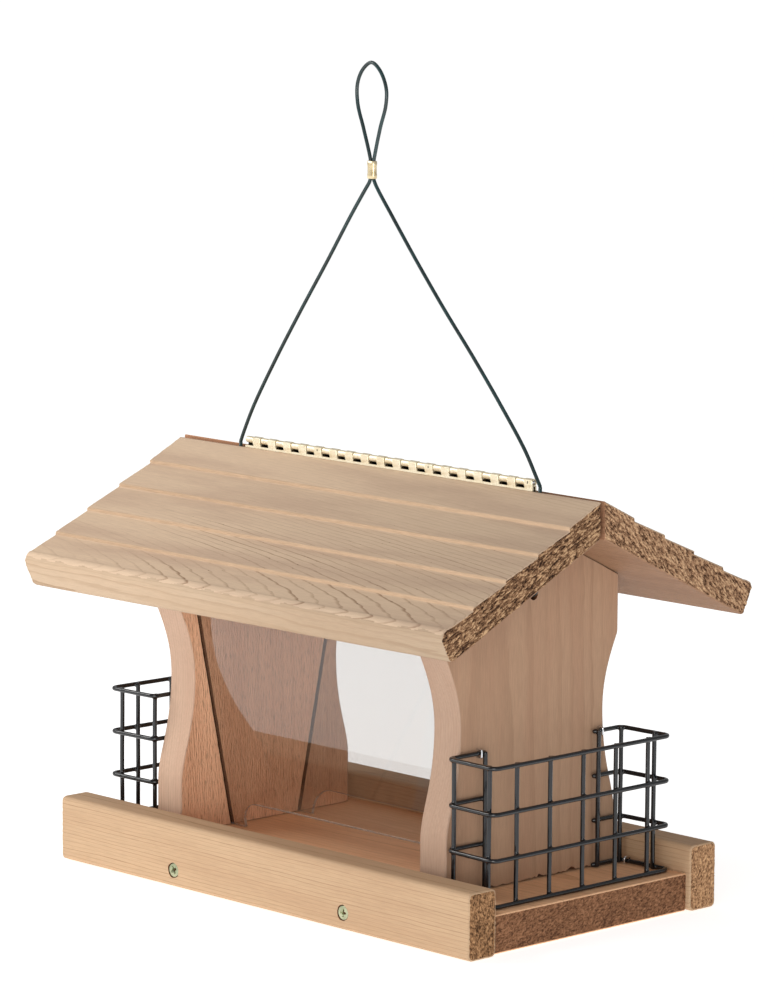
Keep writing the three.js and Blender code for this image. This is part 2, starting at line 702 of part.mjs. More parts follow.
add('floor_board', floorGeometry(), MATERIALS.floorCedar);
for (const slope of BOTH) {
  const name = slopeName(slope);
  add(`${name}_rail`, railGeometry(slope), MATERIALS.railCedar);
  add(`roof_${name}_panel`, roofGeometry(slope), MATERIALS.roofCedar);
  add(`hinge_leaf_${name}`, hingeLeafGeometry(slope), MATERIALS.brass);
  addWindow(slope);
  for (const place of HINGE_SCREW_PLACES) {
    addScrew(`hinge_screw_${name}_${place + 2}`, HINGE_SCREW, hingeScrew(slope, place));
  }
  for (const end of BOTH) {
    addScrew(`${name}_rail_screw_${endName(end)}`, RAIL_SCREW, railScrew(slope, end));
    addScrew(`panel_screw_${endName(end)}_${name}`, PANEL_SCREW, panelScrew(slope, end));
    for (const level of ['top', 'bottom']) {
      const staple = stapleGeometry(end, slope, level);
      add(`cage_staple_${endName(end)}_${name}_${level}`, staple, MATERIALS.zinc);
    }
  }
}
add('hinge_pin', hingePinGeometry(), MATERIALS.brass);

for (const end of BOTH) {
  const name = endName(end);
  add(`${name}_side_panel`, panelGeometry(end), MATERIALS.panelCedar);
  add(`suet_cage_${name}`, cageGeometry(end), MATERIALS.blackVinyl);
  addScrew(`roof_screw_${name}`, ROOF_SCREW, roofScrew(end));
  add(`cable_tail_${name}`, tailGeometry(end), MATERIALS.greenVinyl);
  add(`cable_stop_${name}`, stopGeometry(end), MATERIALS.zinc);
}
add('hanger_cable', hangerGeometry(), MATERIALS.greenVinyl);
add('cable_ferrule', ferruleGeometry(), MATERIALS.brass);

export default feeder;
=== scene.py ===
import math

import bmesh
import bpy
import numpy as np
from mathutils import Matrix, Vector, noise


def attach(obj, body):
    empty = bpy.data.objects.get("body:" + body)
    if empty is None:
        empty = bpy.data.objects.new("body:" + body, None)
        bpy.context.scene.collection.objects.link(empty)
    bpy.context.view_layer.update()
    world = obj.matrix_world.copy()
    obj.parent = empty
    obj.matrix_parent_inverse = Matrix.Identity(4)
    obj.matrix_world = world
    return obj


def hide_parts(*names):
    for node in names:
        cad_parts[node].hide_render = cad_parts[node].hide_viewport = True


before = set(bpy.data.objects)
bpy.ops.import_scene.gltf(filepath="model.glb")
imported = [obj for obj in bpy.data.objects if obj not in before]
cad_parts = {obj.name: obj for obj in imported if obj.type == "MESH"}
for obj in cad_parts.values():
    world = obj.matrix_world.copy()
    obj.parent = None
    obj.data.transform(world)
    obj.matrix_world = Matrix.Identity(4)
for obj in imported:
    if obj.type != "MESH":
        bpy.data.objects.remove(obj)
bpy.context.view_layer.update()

MM = 0.001  # the shapes below are worked out in millimetres, in the frame's axes
BOTH = (-1, 1)

# ------------------------------------------------------------------ camera

CAMERA_PLACE = (1.9935, -1.9094, 0.6415)
CAMERA_RIGHT = (0.69138, 0.72246, 0.00634)
CAMERA_DOWN = (0.11216, -0.09866, -0.98878)
CAMERA_FORWARD = (-0.71373, 0.68434, -0.14924)

camera_data = bpy.data.cameras.new("camera")
camera_data.sensor_width = 36
camera_data.lens = 174.7
camera = bpy.data.objects.new("camera", camera_data)
bpy.context.scene.collection.objects.link(camera)
camera_axes = Matrix((CAMERA_RIGHT, -Vector(CAMERA_DOWN), -Vector(CAMERA_FORWARD))).transposed()
camera.matrix_world = Matrix.Translation(CAMERA_PLACE) @ camera_axes.to_4x4()
bpy.context.scene.camera = camera


# ------------------------------------------------------------------ shader graphs


class Graph:
    """A material's node tree, built from Python expressions."""

    def __init__(self, name):
        self.material = bpy.data.materials.new(name)
        self.material.use_nodes = True
        self.tree = self.material.node_tree
        self.tree.nodes.clear()
        self.output = self.tree.nodes.new("ShaderNodeOutputMaterial")

    def put(self, socket, value):
        if isinstance(value, bpy.types.NodeSocket):
            self.tree.links.new(value, socket)
        else:
            socket.default_value = value

    def node(self, kind, settings=None, **inputs):
        made = self.tree.nodes.new("ShaderNode" + kind)
        for key, value in (settings or {}).items():
            setattr(made, key, value)
        for key, value in inputs.items():
            self.put(made.inputs[key.replace("_", " ")], value)
        return made

    def math(self, operation, *values):
        made = self.tree.nodes.new("ShaderNodeMath")
        made.operation = operation
        for socket, value in zip(made.inputs, values):
            self.put(socket, value)
        return made.outputs[0]

    def add(self, *values):
        total = values[0]
        for value in values[1:]:
            total = self.math("ADD", total, value)
        return total

    def times(self, *values):
        total = values[0]
        for value in values[1:]:
            total = self.math("MULTIPLY", total, value)
        return total

    def spread(self, value, low, high, to_low=0.0, to_high=1.0):
        made = self.tree.nodes.new("ShaderNodeMapRange")
        made.interpolation_type = "SMOOTHSTEP"
        for socket, number in zip(made.inputs, (value, low, high, to_low, to_high)):
            self.put(socket, number)
        return made.outputs[0]

    def vector(self, x, y, z):
        return self.node("CombineXYZ", X=x, Y=y, Z=z).outputs[0]

    def noise(self, vector, scale, detail=2.0, roughness=0.5, distortion=0.0):
        made = self.node("TexNoise", Vector=vector, Scale=scale, Detail=detail, Roughness=roughness)
        made.inputs["Distortion"].default_value = distortion
        return made.outputs[0]

    def mix(self, factor, first, second, blend="MIX"):
        made = self.tree.nodes.new("ShaderNodeMix")
        made.data_type = "RGBA"
        made.blend_type = blend
        made.clamp_factor = True
        self.put(made.inputs[0], factor)
        for socket, value in zip((made.inputs[6], made.inputs[7]), (first, second)):
            self.put(socket, colour(value) if isinstance(value, tuple) else value)
        return made.outputs[2]

    def shade(self, base, roughness, height=None, depth=0.0003, **settings):
        shader = self.node("BsdfPrincipled")
        self.put(shader.inputs["Base Color"], colour(base) if isinstance(base, tuple) else base)
        self.put(shader.inputs["Roughness"], roughness)
        for key, value in settings.items():
            shader.inputs[key.replace("_", " ")].default_value = value
        if height is not None:
            bump = self.node("Bump", Strength=1.0, Distance=depth, Height=height)
            self.tree.links.new(bump.outputs[0], shader.inputs["Normal"])
        self.tree.links.new(shader.outputs[0], self.output.inputs[0])
        return self.material


def colour(value):
    """An sRGB colour, 0 to 255, as the linear one a socket takes."""
    linear = [v / 255 / 12.92 if v <= 10 else ((v / 255 + 0.055) / 1.055) ** 2.4 for v in value[:3]]
    return (*linear, 1.0)


def log_axes(graph, along, across, depth, origin):
    """Millimetres along the grain, across the face and into the board, from a point given in mm."""
    place = graph.node("TexCoord").outputs["Object"]
    axes = []
    for direction in (along, across, depth):
        made = graph.node("VectorMath", {"operation": "DOT_PRODUCT"})
        graph.put(made.inputs[0], place)
        made.inputs[1].default_value = tuple(1000 * d for d in direction)
        start = sum(a * b for a, b in zip(direction, origin))
        axes.append(graph.math("SUBTRACT", made.outputs["Value"], start))
    return axes


def wood(
    name,
    early,
    late,
    along,
    across,
    depth,
    origin=(0, 0, 0),
    pith=(-60, 30),  # of the rings: millimetres across and into the board
    taper=0.0,
    pitch=2.4,
    wander=1.2,
    line=0.5,
    line_width=0.34,
    tint=None,
    tint_amount=0.35,
    streaks=0.16,
    flecks=0.0,
    fuzz=0.0,
    bump=0.00012,
    seed=0.0,
    roughness=0.66,
    fade=None,  # (from, to, least): the lines weaken across the face between two places, and to the left
    painted_falloff=None,  # painted light: brightness at the two ends of a 350 mm board, standing in for light that falls off along it
):
    """Planed or sawn cedar: growth rings round a tilted pith, fine fibres, flecks and saw fuzz."""
    graph = Graph(name)
    l, a, d = log_axes(graph, along, across, depth, origin)
    slow = graph.vector(graph.times(l, 0.012), graph.times(a, 0.09), graph.add(graph.times(d, 0.09), seed))
    drift = graph.math("SUBTRACT", graph.noise(slow, 1.0, 2.0), 0.5)
    medium = graph.vector(graph.times(l, 0.03), graph.times(a, 0.3), graph.add(graph.times(d, 0.3), seed))
    ripple = graph.math("SUBTRACT", graph.noise(medium, 1.0, 2.0), 0.5)
    side = graph.add(a, -pith[0], graph.times(drift, wander * 3))
    down = graph.add(d, pith[1], graph.times(l, taper))
    radius = graph.math("SQRT", graph.add(graph.times(side, side), graph.times(down, down)))
    radius = graph.add(radius, graph.times(ripple, wander * 1.1))
    rings = graph.math("FRACT", graph.math("DIVIDE", radius, pitch))
    rise = graph.spread(rings, 1 - line_width, 0.93)
    fall = graph.spread(rings, 0.94, 1.0, 1.0, 0.0)
    which = graph.math("FLOOR", graph.math("DIVIDE", radius, pitch))
    uneven = graph.node("TexWhiteNoise", {"noise_dimensions": "1D"}, W=graph.add(which, seed)).outputs[0]
    rings_seen = graph.times(rise, fall, graph.add(graph.times(uneven, 0.75), 0.35))
    thread = graph.vector(graph.times(l, 0.05), graph.times(a, 1.0), graph.add(graph.times(d, 1.0), seed))
    fibres = graph.noise(thread, 2.2, 4.0, 0.62)
    broad = graph.vector(graph.times(l, 0.006), graph.times(a, 0.05), graph.add(graph.times(d, 0.05), seed + 7))
    patch = graph.noise(broad, 1.0, 3.0, 0.55)
    if fade is not None:
        rings_seen = graph.times(
            rings_seen, graph.spread(graph.add(a, graph.times(drift, 30)), fade[0], fade[1], 1, fade[2]),
            graph.spread(graph.add(l, graph.times(drift, 40)), -130, -30, 0.25, 1),
        )
    base = graph.mix(graph.times(rings_seen, line), early, late)
    if tint is not None:
        base = graph.mix(graph.times(graph.spread(patch, 0.38, 0.66), tint_amount), base, tint)
    lighten = graph.spread(fibres, 0.28, 0.72, 1 - streaks, 1 + streaks * 0.6)
    # painted light: the colour grows lighter or darker along the board, as the lamps' light would make it
    if painted_falloff is not None:
        lighten = graph.times(lighten, graph.spread(graph.add(l, graph.times(drift, 60)), -175, 175, *painted_falloff))
    base = graph.mix(1.0, base, graph.vector(lighten, lighten, lighten), "MULTIPLY")
    height = graph.add(graph.times(rings_seen, 0.5), graph.times(fibres, 0.9))
    if flecks:
        spots = graph.vector(graph.times(l, 0.55), graph.times(a, 0.9), graph.add(graph.times(d, 0.9), seed + 3))
        dots = graph.spread(graph.noise(spots, 1.0, 1.0), 0.66, 0.74)
        dots = graph.times(dots, graph.spread(rings_seen, 0.15, 0.5), flecks)
        base = graph.mix(dots, base, (104, 74, 52))
    if fuzz:
        torn = graph.vector(graph.times(l, 0.2), graph.times(a, 1.35), graph.add(graph.times(d, 1.35), seed + 11))
        dashes = graph.noise(torn, 0.95, 3.0, 0.6)
        dark = graph.times(graph.spread(dashes, 0.53, 0.68), fuzz)
        pale = graph.times(graph.spread(dashes, 0.46, 0.32), fuzz * 0.55)
        base = graph.mix(dark, base, tuple(int(0.56 * c) for c in late))
        base = graph.mix(pale, base, tuple(min(255, int(1.12 * c)) for c in early))
        height = graph.add(height, graph.times(dashes, -5.0))
    return graph.shade(base, roughness, height, bump, Specular_IOR_Level=0.3)


def end_grain(name, light, middle, dark, lean=0.0, seed=0.0, contrast=1.0):
    """Sawn end grain: short torn strokes that run at an angle in the YZ plane; 'pit' is 0 in a pit."""
    graph = Graph(name)
    place = graph.node("TexCoord").outputs["Object"]
    pit = graph.node("Attribute", {"attribute_name": "pit"}).outputs["Fac"]
    c, s = math.cos(lean), math.sin(lean)
    along, across = [], []
    for direction, into in (((0, c, s), along), ((0, -s, c), across)):
        made = graph.node("VectorMath", {"operation": "DOT_PRODUCT"})
        graph.put(made.inputs[0], place)
        made.inputs[1].default_value = tuple(1000 * d for d in direction)
        into.append(made.outputs["Value"])
    along, across = along[0], across[0]
    strokes = graph.noise(graph.vector(graph.times(along, 0.42), graph.times(across, 0.95), seed), 1.0, 3.0, 0.6, 0.35)
    specks = graph.noise(graph.vector(graph.times(along, 1.3), graph.times(across, 2.2), seed + 5), 1.0, 2.0, 0.6)
    broad = graph.noise(graph.vector(graph.times(along, 0.07), graph.times(across, 0.12), seed + 9), 1.0, 2.0)
    level = graph.add(graph.times(strokes, 0.62), graph.times(specks, 0.5), graph.times(pit, 0.22), -0.17)
    level = graph.add(level, graph.times(broad, 0.16), -0.08)
    base = graph.mix(graph.times(graph.spread(level, 0.49, 0.35), contrast), middle, dark)
    base = graph.mix(graph.times(graph.spread(level, 0.52, 0.66), contrast), base, light)
    return graph.shade(base, 0.85, graph.add(strokes, graph.times(specks, 0.7)), 0.0007, Specular_IOR_Level=0.12)


X, Y, Z = Vector((1, 0, 0)), Vector((0, 1, 0)), Vector((0, 0, 1))

# ------------------------------------------------------------------ mesh helpers


def make(name, points, faces, body, replaced, slot, materials, indices=None, smooth=True, attributes=None):
    """A piece from points in millimetres."""
    mesh = bpy.data.meshes.new(name)
    mesh.from_pydata((np.asarray(points, float) * MM).tolist(), [], [list(map(int, f)) for f in faces])
    for material in materials:
        mesh.materials.append(material)
    if indices is not None:
        mesh.polygons.foreach_set("material_index", np.asarray(indices, np.int32))
    for key, values in (attributes or {}).items():
        mesh.attributes.new(key, "FLOAT", "POINT").data.foreach_set("value", np.asarray(values, np.float32))
    shape = bmesh.new()
    shape.from_mesh(mesh)
    bmesh.ops.recalc_face_normals(shape, faces=shape.faces)
    shape.to_mesh(mesh)
    shape.free()
    mesh.shade_smooth() if smooth else mesh.shade_flat()
    return place_piece(name, mesh, body, replaced)


def place_piece(name, data, body, replaced):
    piece = bpy.data.objects.new(name, data)
    bpy.context.scene.collection.objects.link(piece)
    if body:
        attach(piece, body)
        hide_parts(*([replaced] if isinstance(replaced, str) else replaced))
    return piece


def apply_modifiers(piece):
    graph = bpy.context.evaluated_depsgraph_get()
    made = bpy.data.meshes.new_from_object(piece.evaluated_get(graph), depsgraph=graph)
    piece.modifiers.clear()
    old = piece.data
    piece.data = made
    bpy.data.meshes.remove(old)


def cut(piece, cutters):
    """Subtracts the cutters, whose faces take the piece's last material."""
    last = len(piece.data.materials) - 1
    for points, faces in cutters:
        cutter = make("cutter", points, faces, None, None, None, piece.data.materials[:], [last] * len(faces))
        difference = piece.modifiers.new("cut", "BOOLEAN")
        difference.operation = "DIFFERENCE"
        difference.solver = "MANIFOLD"
        difference.material_mode = "INDEX"
        difference.object = cutter
        apply_modifiers(piece)
        bpy.data.objects.remove(cutter)
    piece.data.shade_smooth()


def sharp_shade(piece, angle=35):
    piece.data.shade_smooth()
    piece.data.set_sharp_from_angle(angle=math.radians(angle))


def lattice(P, slots=(0, 0, 0, 0, 0, 0)):
    """The outside of a lattice of points (a, b, c, 3): points, faces, and each face's side's slot."""
    on = np.zeros(P.shape[:3], bool)
    on[0] = on[-1] = True
    on[:, 0] = on[:, -1] = True
    on[:, :, 0] = on[:, :, -1] = True
    index = np.full(P.shape[:3], -1)
    index[on] = np.arange(on.sum())
    faces, sides = [], []
    grids = (index[0], index[-1], index[:, 0], index[:, -1], index[:, :, 0], index[:, :, -1])
    for grid, slot in zip(grids, slots):
        quads = np.stack([grid[:-1, :-1], grid[1:, :-1], grid[1:, 1:], grid[:-1, 1:]], -1).reshape(-1, 4)
        faces.append(quads)
        sides.append(np.full(len(quads), slot))
    return P[on], np.vstack(faces), np.concatenate(sides), on


def spaced(low, high, step, near=(0, 0.2, 0.45, 0.75, 1)):
    """Places from low to high, with closer ones at both ends."""
    middle = np.linspace(low + near[-1], high - near[-1], max(2, int(round((high - low) / step))))
    ends = np.array(near[:-1])
    return np.concatenate([low + ends, middle, (high - ends)[::-1]])


def rounded(u, v, low, high, radius):
    """Rounds the corners of a section: (u, v) on the box from low to high is pulled in to the radius."""
    cu = np.clip(u, low[0] + radius, high[0] - radius)
    cv = np.clip(v, low[1] + radius, high[1] - radius)
    du, dv = u - cu, v - cv
    length = np.hypot(du, dv)
    reach = np.maximum(np.abs(du), np.abs(dv))
    scale = np.where(length > 1e-9, reach / np.maximum(length, 1e-9), 1)
    return cu + du * scale, cv + dv * scale


def field(points, scale, seed, octaves=2):
    """Smooth noise, about -1 to 1, at each point; scale is per axis, in cycles per mm."""
    scaled = np.asarray(points, float) * np.asarray(scale) + seed
    return np.array([noise.fractal(Vector(p), 0.6, 2.1, octaves, noise_basis="PERLIN_ORIGINAL") for p in scaled])


def pits(points, scale, seed):
    """0 in the pits of torn end grain, 1 on its fibres."""
    value = field(points, scale, seed, 3)
    return np.clip(0.5 + 1.5 * value, 0, 1)


def tube(points, radius, sides=12, closed_ends=True):
    """A round tube along a plain polyline, in mm: points and faces."""
    P = np.asarray(points, float)
    tangents = np.gradient(P, axis=0)
    tangents /= np.linalg.norm(tangents, axis=1)[:, None]
    normal = np.cross(tangents[0], (0.3, 0.5, 0.81))
    normal /= np.linalg.norm(normal)
    rings = []
    angles = np.arange(sides) * 2 * math.pi / sides
    for point, tangent in zip(P, tangents):
        normal = normal - tangent * normal.dot(tangent)
        normal /= np.linalg.norm(normal)
        other = np.cross(tangent, normal)
        rings.append(point + radius * (np.outer(np.cos(angles), normal) + np.outer(np.sin(angles), other)))
    faces = []
    for ring in range(len(P) - 1):
        for side in range(sides):
            after = (side + 1) % sides
            a, b = ring * sides, (ring + 1) * sides
            faces.append([a + side, a + after, b + after, b + side])
    if closed_ends:
        faces.append(list(range(sides))[::-1])
        faces.append([(len(P) - 1) * sides + side for side in range(sides)])
    return np.vstack(rings), faces


def merge(parts):
    points, faces, count = [], [], 0
    for part_points, part_faces in parts:
        points.append(part_points)
        faces += [[count + i for i in face] for face in part_faces]
        count += len(part_points)
    return np.vstack(points), faces


def ball(centre, radius, stretch=(1, 1, 1), rings=8, sides=12):
    points = [np.array((0, 0, -1.0))]
    for ring in range(1, rings):
        tilt = math.pi * ring / rings
        for side in range(sides):
            turn = 2 * math.pi * side / sides
            points.append(np.array((math.sin(tilt) * math.cos(turn), math.sin(tilt) * math.sin(turn), -math.cos(tilt))))
    points.append(np.array((0, 0, 1.0)))
    faces = [[0, 1 + (side + 1) % sides, 1 + side] for side in range(sides)]
    for ring in range(rings - 2):
        for side in range(sides):
            a, b = 1 + ring * sides, 1 + (ring + 1) * sides
            after = (side + 1) % sides
            faces.append([a + side, a + after, b + after, b + side])
    top, last = len(points) - 1, 1 + (rings - 2) * sides
    faces += [[top, last + side, last + (side + 1) % sides] for side in range(sides)]
    return np.array(points) * radius * np.asarray(stretch) + np.asarray(centre, float), faces


def bent(corners, radius, steps=6):
    """A polyline whose inner corners are turned round a radius."""
    corners = [np.asarray(c, float) for c in corners]
    route = [corners[0]]
    for before, corner, after in zip(corners, corners[1:], corners[2:]):
        a, b = before - corner, after - corner
        a, b = a / np.linalg.norm(a), b / np.linalg.norm(b)
        half = math.acos(np.clip(a.dot(b), -1, 1)) / 2
        reach = radius / math.tan(half)
        centre = corner + (a + b) / np.linalg.norm(a + b) * radius / math.sin(half)
        start, end = corner + a * reach - centre, corner + b * reach - centre
        turn = math.acos(np.clip(start.dot(end) / radius**2, -1, 1))
        for step in range(steps + 1):
            share = step / steps
            arc = (math.sin((1 - share) * turn) * start + math.sin(share * turn) * end) / math.sin(turn)
            route.append(centre + arc)
    route.append(corners[-1])
    return route


# ------------------------------------------------------------------ cable

CABLE_RADIUS = 1.1
HANGER_ROUTE = (  # metres, in the plane y = 0: the left exit, round the loop, the right exit
    (-0.1234, 0.2464), (-0.1202, 0.2532), (-0.1122, 0.2683), (-0.0925, 0.2986), (-0.0713, 0.3287),
    (-0.0495, 0.3585), (-0.0287, 0.3878), (-0.0177, 0.4024), (-0.014, 0.4073), (-0.0131, 0.41),
    (-0.0131, 0.4186), (-0.0141, 0.4228), (-0.0194, 0.438), (-0.0242, 0.4515), (-0.0244, 0.463),
    (-0.02, 0.4712), (-0.0129, 0.4754), (-0.006, 0.4712), (-0.0008, 0.4615), (-0.0009, 0.4518),
    (-0.0054, 0.4386), (-0.0098, 0.4228), (-0.0107, 0.4186), (-0.0107, 0.41), (-0.0098, 0.4073),
    (-0.0067, 0.4028), (0.0038, 0.3901), (0.0255, 0.3643), (0.0481, 0.3388), (0.0717, 0.3137),
    (0.0939, 0.2887), (0.1129, 0.2657), (0.1222, 0.2512), (0.1252, 0.2464),
)


def catmull_rom(route, steps):
    """The centripetal curve through the route's points, as the solid tube follows it."""
    P = [np.array(p) for p in route]
    P = [2 * P[0] - P[1], *P, 2 * P[-1] - P[-2]]
    out = []
    for p0, p1, p2, p3 in zip(P, P[1:], P[2:], P[3:]):
        t1 = np.linalg.norm(p1 - p0) ** 0.5
        t2 = t1 + np.linalg.norm(p2 - p1) ** 0.5
        t3 = t2 + np.linalg.norm(p3 - p2) ** 0.5
        for step in range(steps):
            t = t1 + (t2 - t1) * step / steps
            a1 = ((t1 - t) * p0 + t * p1) / t1
            a2 = ((t2 - t) * p1 + (t - t1) * p2) / (t2 - t1)
            a3 = ((t3 - t) * p2 + (t - t2) * p3) / (t3 - t2)
            b1 = ((t2 - t) * a1 + t * a2) / t2
            b2 = ((t3 - t) * a2 + (t - t1) * a3) / (t3 - t1)
            out.append(((t2 - t) * b1 + (t - t1) * b2) / (t2 - t1))
    return [*out, P[-2]]


def cable_material():
    graph = Graph("green_vinyl")
    place = graph.node("TexCoord").outputs["Object"]
    lumps = graph.noise(place, 320.0, 2.0)
    scuff = graph.noise(place, 90.0, 3.0)
    base = graph.mix(graph.spread(scuff, 0.35, 0.7), (8, 34, 36), (16, 52, 54))
    return graph.shade(base, graph.spread(lumps, 0.3, 0.7, 0.28, 0.45), lumps, 0.00008, Coat_Weight=0.3)


CABLE_FINISH = cable_material()


def cable_curve(name, points, body, replaced):
    curve = bpy.data.curves.new(name, "CURVE")
    curve.dimensions = "3D"
    curve.bevel_depth = CABLE_RADIUS * MM
    curve.bevel_resolution = 4
    curve.use_fill_caps = True
    spline = curve.splines.new("POLY")
    spline.points.add(len(points) - 1)
    for point, (x, z) in zip(spline.points, points):
        point.co = (x, 0, z, 1)
    spline.use_smooth = True
    curve.materials.append(CABLE_FINISH)
    return place_piece(name, curve, body, replaced)


hanger = cable_curve("hanger_cord", catmull_rom(HANGER_ROUTE, 8), "hanger", "hanger_cable")

# ------------------------------------------------------------------ dimensions shared with the CAD

GAP = 0.3
RAIL_LENGTH, RAIL_HEIGHT, RAIL_THICKNESS = 343, 38, 21
FLOOR_LENGTH, FLOOR_WIDTH, FLOOR_THICKNESS = 336.6, 155.8, 22
PANEL_INNER, PANEL_OUTER = 100.3, 121.3
ROOF_LENGTH, ROOF_MIDDLE, ROOF_SLOPE, SLOPE_LENGTH = 349.7, -1.15, math.radians(25.8), 136.2
ROOF_THICKNESS, RIDGE_HEIGHT, RIDGE_HALF_GAP = 19.4, 243.5, 1.95
COURSES, STEP_DEPTH = 5, 1.7
LEAN, WINDOW_FOOT = math.radians(11.8), 26.7

# ------------------------------------------------------------------ wood


def rail_wood(slope):
    return wood(
        "rail_cedar_" + ("front" if slope < 0 else "rear"),
        (204, 172, 138), (150, 111, 75), X, Z, -slope * Y, (0, slope * 98.9, 0),
        pith=(-95, 26 if slope < 0 else 40), taper=0.012, pitch=2.15, wander=0.8, line=0.72, line_width=0.24,
        # painted shade: the rail's colour darkens towards its right end, for the key light falling off there
        tint=(190, 155, 122), tint_amount=0.5, streaks=0.08, bump=0.0001, seed=3 + slope, painted_falloff=(1.01, 0.9),
    )


ROOF_STROKES = {-1: math.radians(-154), 1: math.radians(-45)}  # the way the saw tore each half's end
ends_roof = {
    -1: end_grain("roof_front_end_grain", (210, 172, 132), (134, 99, 72), (50, 33, 23), ROOF_STROKES[-1], 0.1),
    1: end_grain("roof_rear_end_grain", (214, 176, 138), (162, 124, 94), (74, 50, 35), ROOF_STROKES[1], 1.1),
}
UPWARDS = math.radians(80)
ends_rail = {
    -1: end_grain("front_rail_end_grain", (192, 148, 106), (146, 108, 75), (78, 54, 36), UPWARDS, 0.3),
    1: end_grain("rear_rail_end_grain", (220, 176, 132), (176, 134, 98), (104, 74, 52), UPWARDS, 2.3),
}
ends_floor = end_grain("floor_end_grain", (168, 122, 90), (134, 94, 67), (84, 56, 40), 0.15, 0.5, 0.9)
hole_wood = end_grain("cut_wood", (150, 108, 74), (112, 76, 50), (60, 40, 28), 0.4, 0.7, 0.8)


def cap_relief(P, on, ends, seed, scale, depth, lean=0.0):
    """Moves the end faces in by their pits; returns the moved points and the value of 'pit' at each."""
    c, s = math.cos(lean), math.sin(lean)
    turn = np.array(((1, 0, 0), (0, c, s), (0, -s, c)))
    points = P[on]
    value = np.ones(len(points))
    for side, limit in zip((-1, 1), ends):
        near = np.abs(points[:, 0] - limit) < 1.3
        value[near] = pits(points[near] @ turn.T, scale, seed + side)
        fade = np.clip(1 - np.abs(points[near, 0] - limit) / 1.3, 0, 1)
        points[near, 0] -= side * depth * (1 - value[near]) * fade
    return points, value


def end_rounding(P, length, radius):
    """Eases the arrises round both end faces."""
    inset = np.clip(np.abs(P[..., 0]) - (length / 2 - radius), 0, radius)
    drop = radius - np.sqrt(np.maximum(radius**2 - inset**2, 0))
    return drop


def wood_rail(slope):
    inner = FLOOR_WIDTH / 2
    xs = spaced(-RAIL_LENGTH / 2, RAIL_LENGTH / 2, 3.0, (0, 0.3, 0.7, 1.2))
    ys = spaced(inner, inner + RAIL_THICKNESS, 0.75, (0, 0.4, 1.0, 1.8, 3.0))
    zs = spaced(0, RAIL_HEIGHT, 0.75, (0, 0.4, 1.0, 1.8, 3.0))
    A, B, C = np.meshgrid(xs, ys, zs, indexing="ij")
    B, C = rounded(B, C, (inner, 0), (inner + RAIL_THICKNESS, RAIL_HEIGHT), 3.0)
    middle_y, middle_z = inner + RAIL_THICKNESS / 2, RAIL_HEIGHT / 2
    drop = end_rounding(np.stack([A], -1), RAIL_LENGTH, 0.9)
    B = middle_y + (B - middle_y) * (1 - drop / (RAIL_THICKNESS / 2))
    C = middle_z + (C - middle_z) * (1 - drop / (RAIL_HEIGHT / 2))
    P = np.stack([A, slope * B, C], -1)
    points, faces, sides, on = lattice(P, (1, 1, 0, 0, 0, 0))
    points, pit = cap_relief(P, on, (-RAIL_LENGTH / 2, RAIL_LENGTH / 2), 5 + slope, (0.5, 1.0, 0.8), 0.35)
    body = np.abs(points[:, 0]) < RAIL_LENGTH / 2 - 1
    wave = field(points[body], (0.015, 0.12, 0.12), 20 + slope)
    points[body, 1] += slope * (0.12 * wave - 0.1)
    name = "front" if slope < 0 else "rear"
    rail = make(
        name + "_rail_board", points, faces, "house", name + "_rail", "cedar_rail",
        [rail_wood(slope), ends_rail[slope], hole_wood], sides, attributes={"pit": pit},
    )
    cutters = []
    for end in BOTH:
        cutters.append(ragged_hole(Vector((end * 71.5, slope * 98.9, 10)), -slope * Y, 4.35, 1.6, 0.4, end))
    cut(rail, cutters)
    sharp_shade(rail, 60)
    return rail


def ragged_hole(centre, direction, radius, depth, roughness, seed, sides=36):
    """A cutter for the torn rim of a screw's hole: wider and uneven where it breaks the surface."""
    turn = Z.rotation_difference(direction).to_matrix()
    rings = []
    for level, grow in ((-1.0, 0.55), (0.0, 0.5), (0.35, 0.12), (depth, 0.0)):
        for side in range(sides):
            angle = 2 * math.pi * side / sides
            torn = noise.noise(Vector((math.cos(angle) * 1.7, math.sin(angle) * 1.7, seed * 5.3)))
            reach = radius + grow * (roughness + 1.6 * max(torn, -0.2))
            rings.append(centre + turn @ Vector((reach * math.cos(angle), reach * math.sin(angle), level)))
    faces = [list(range(sides))[::-1]]
    for ring in range(3):
        for side in range(sides):
            after = (side + 1) % sides
            a, b = ring * sides, (ring + 1) * sides
            faces.append([a + side, a + after, b + after, b + side])
    faces.append([3 * sides + side for side in range(sides)])
    return np.array([tuple(p) for p in rings]), faces


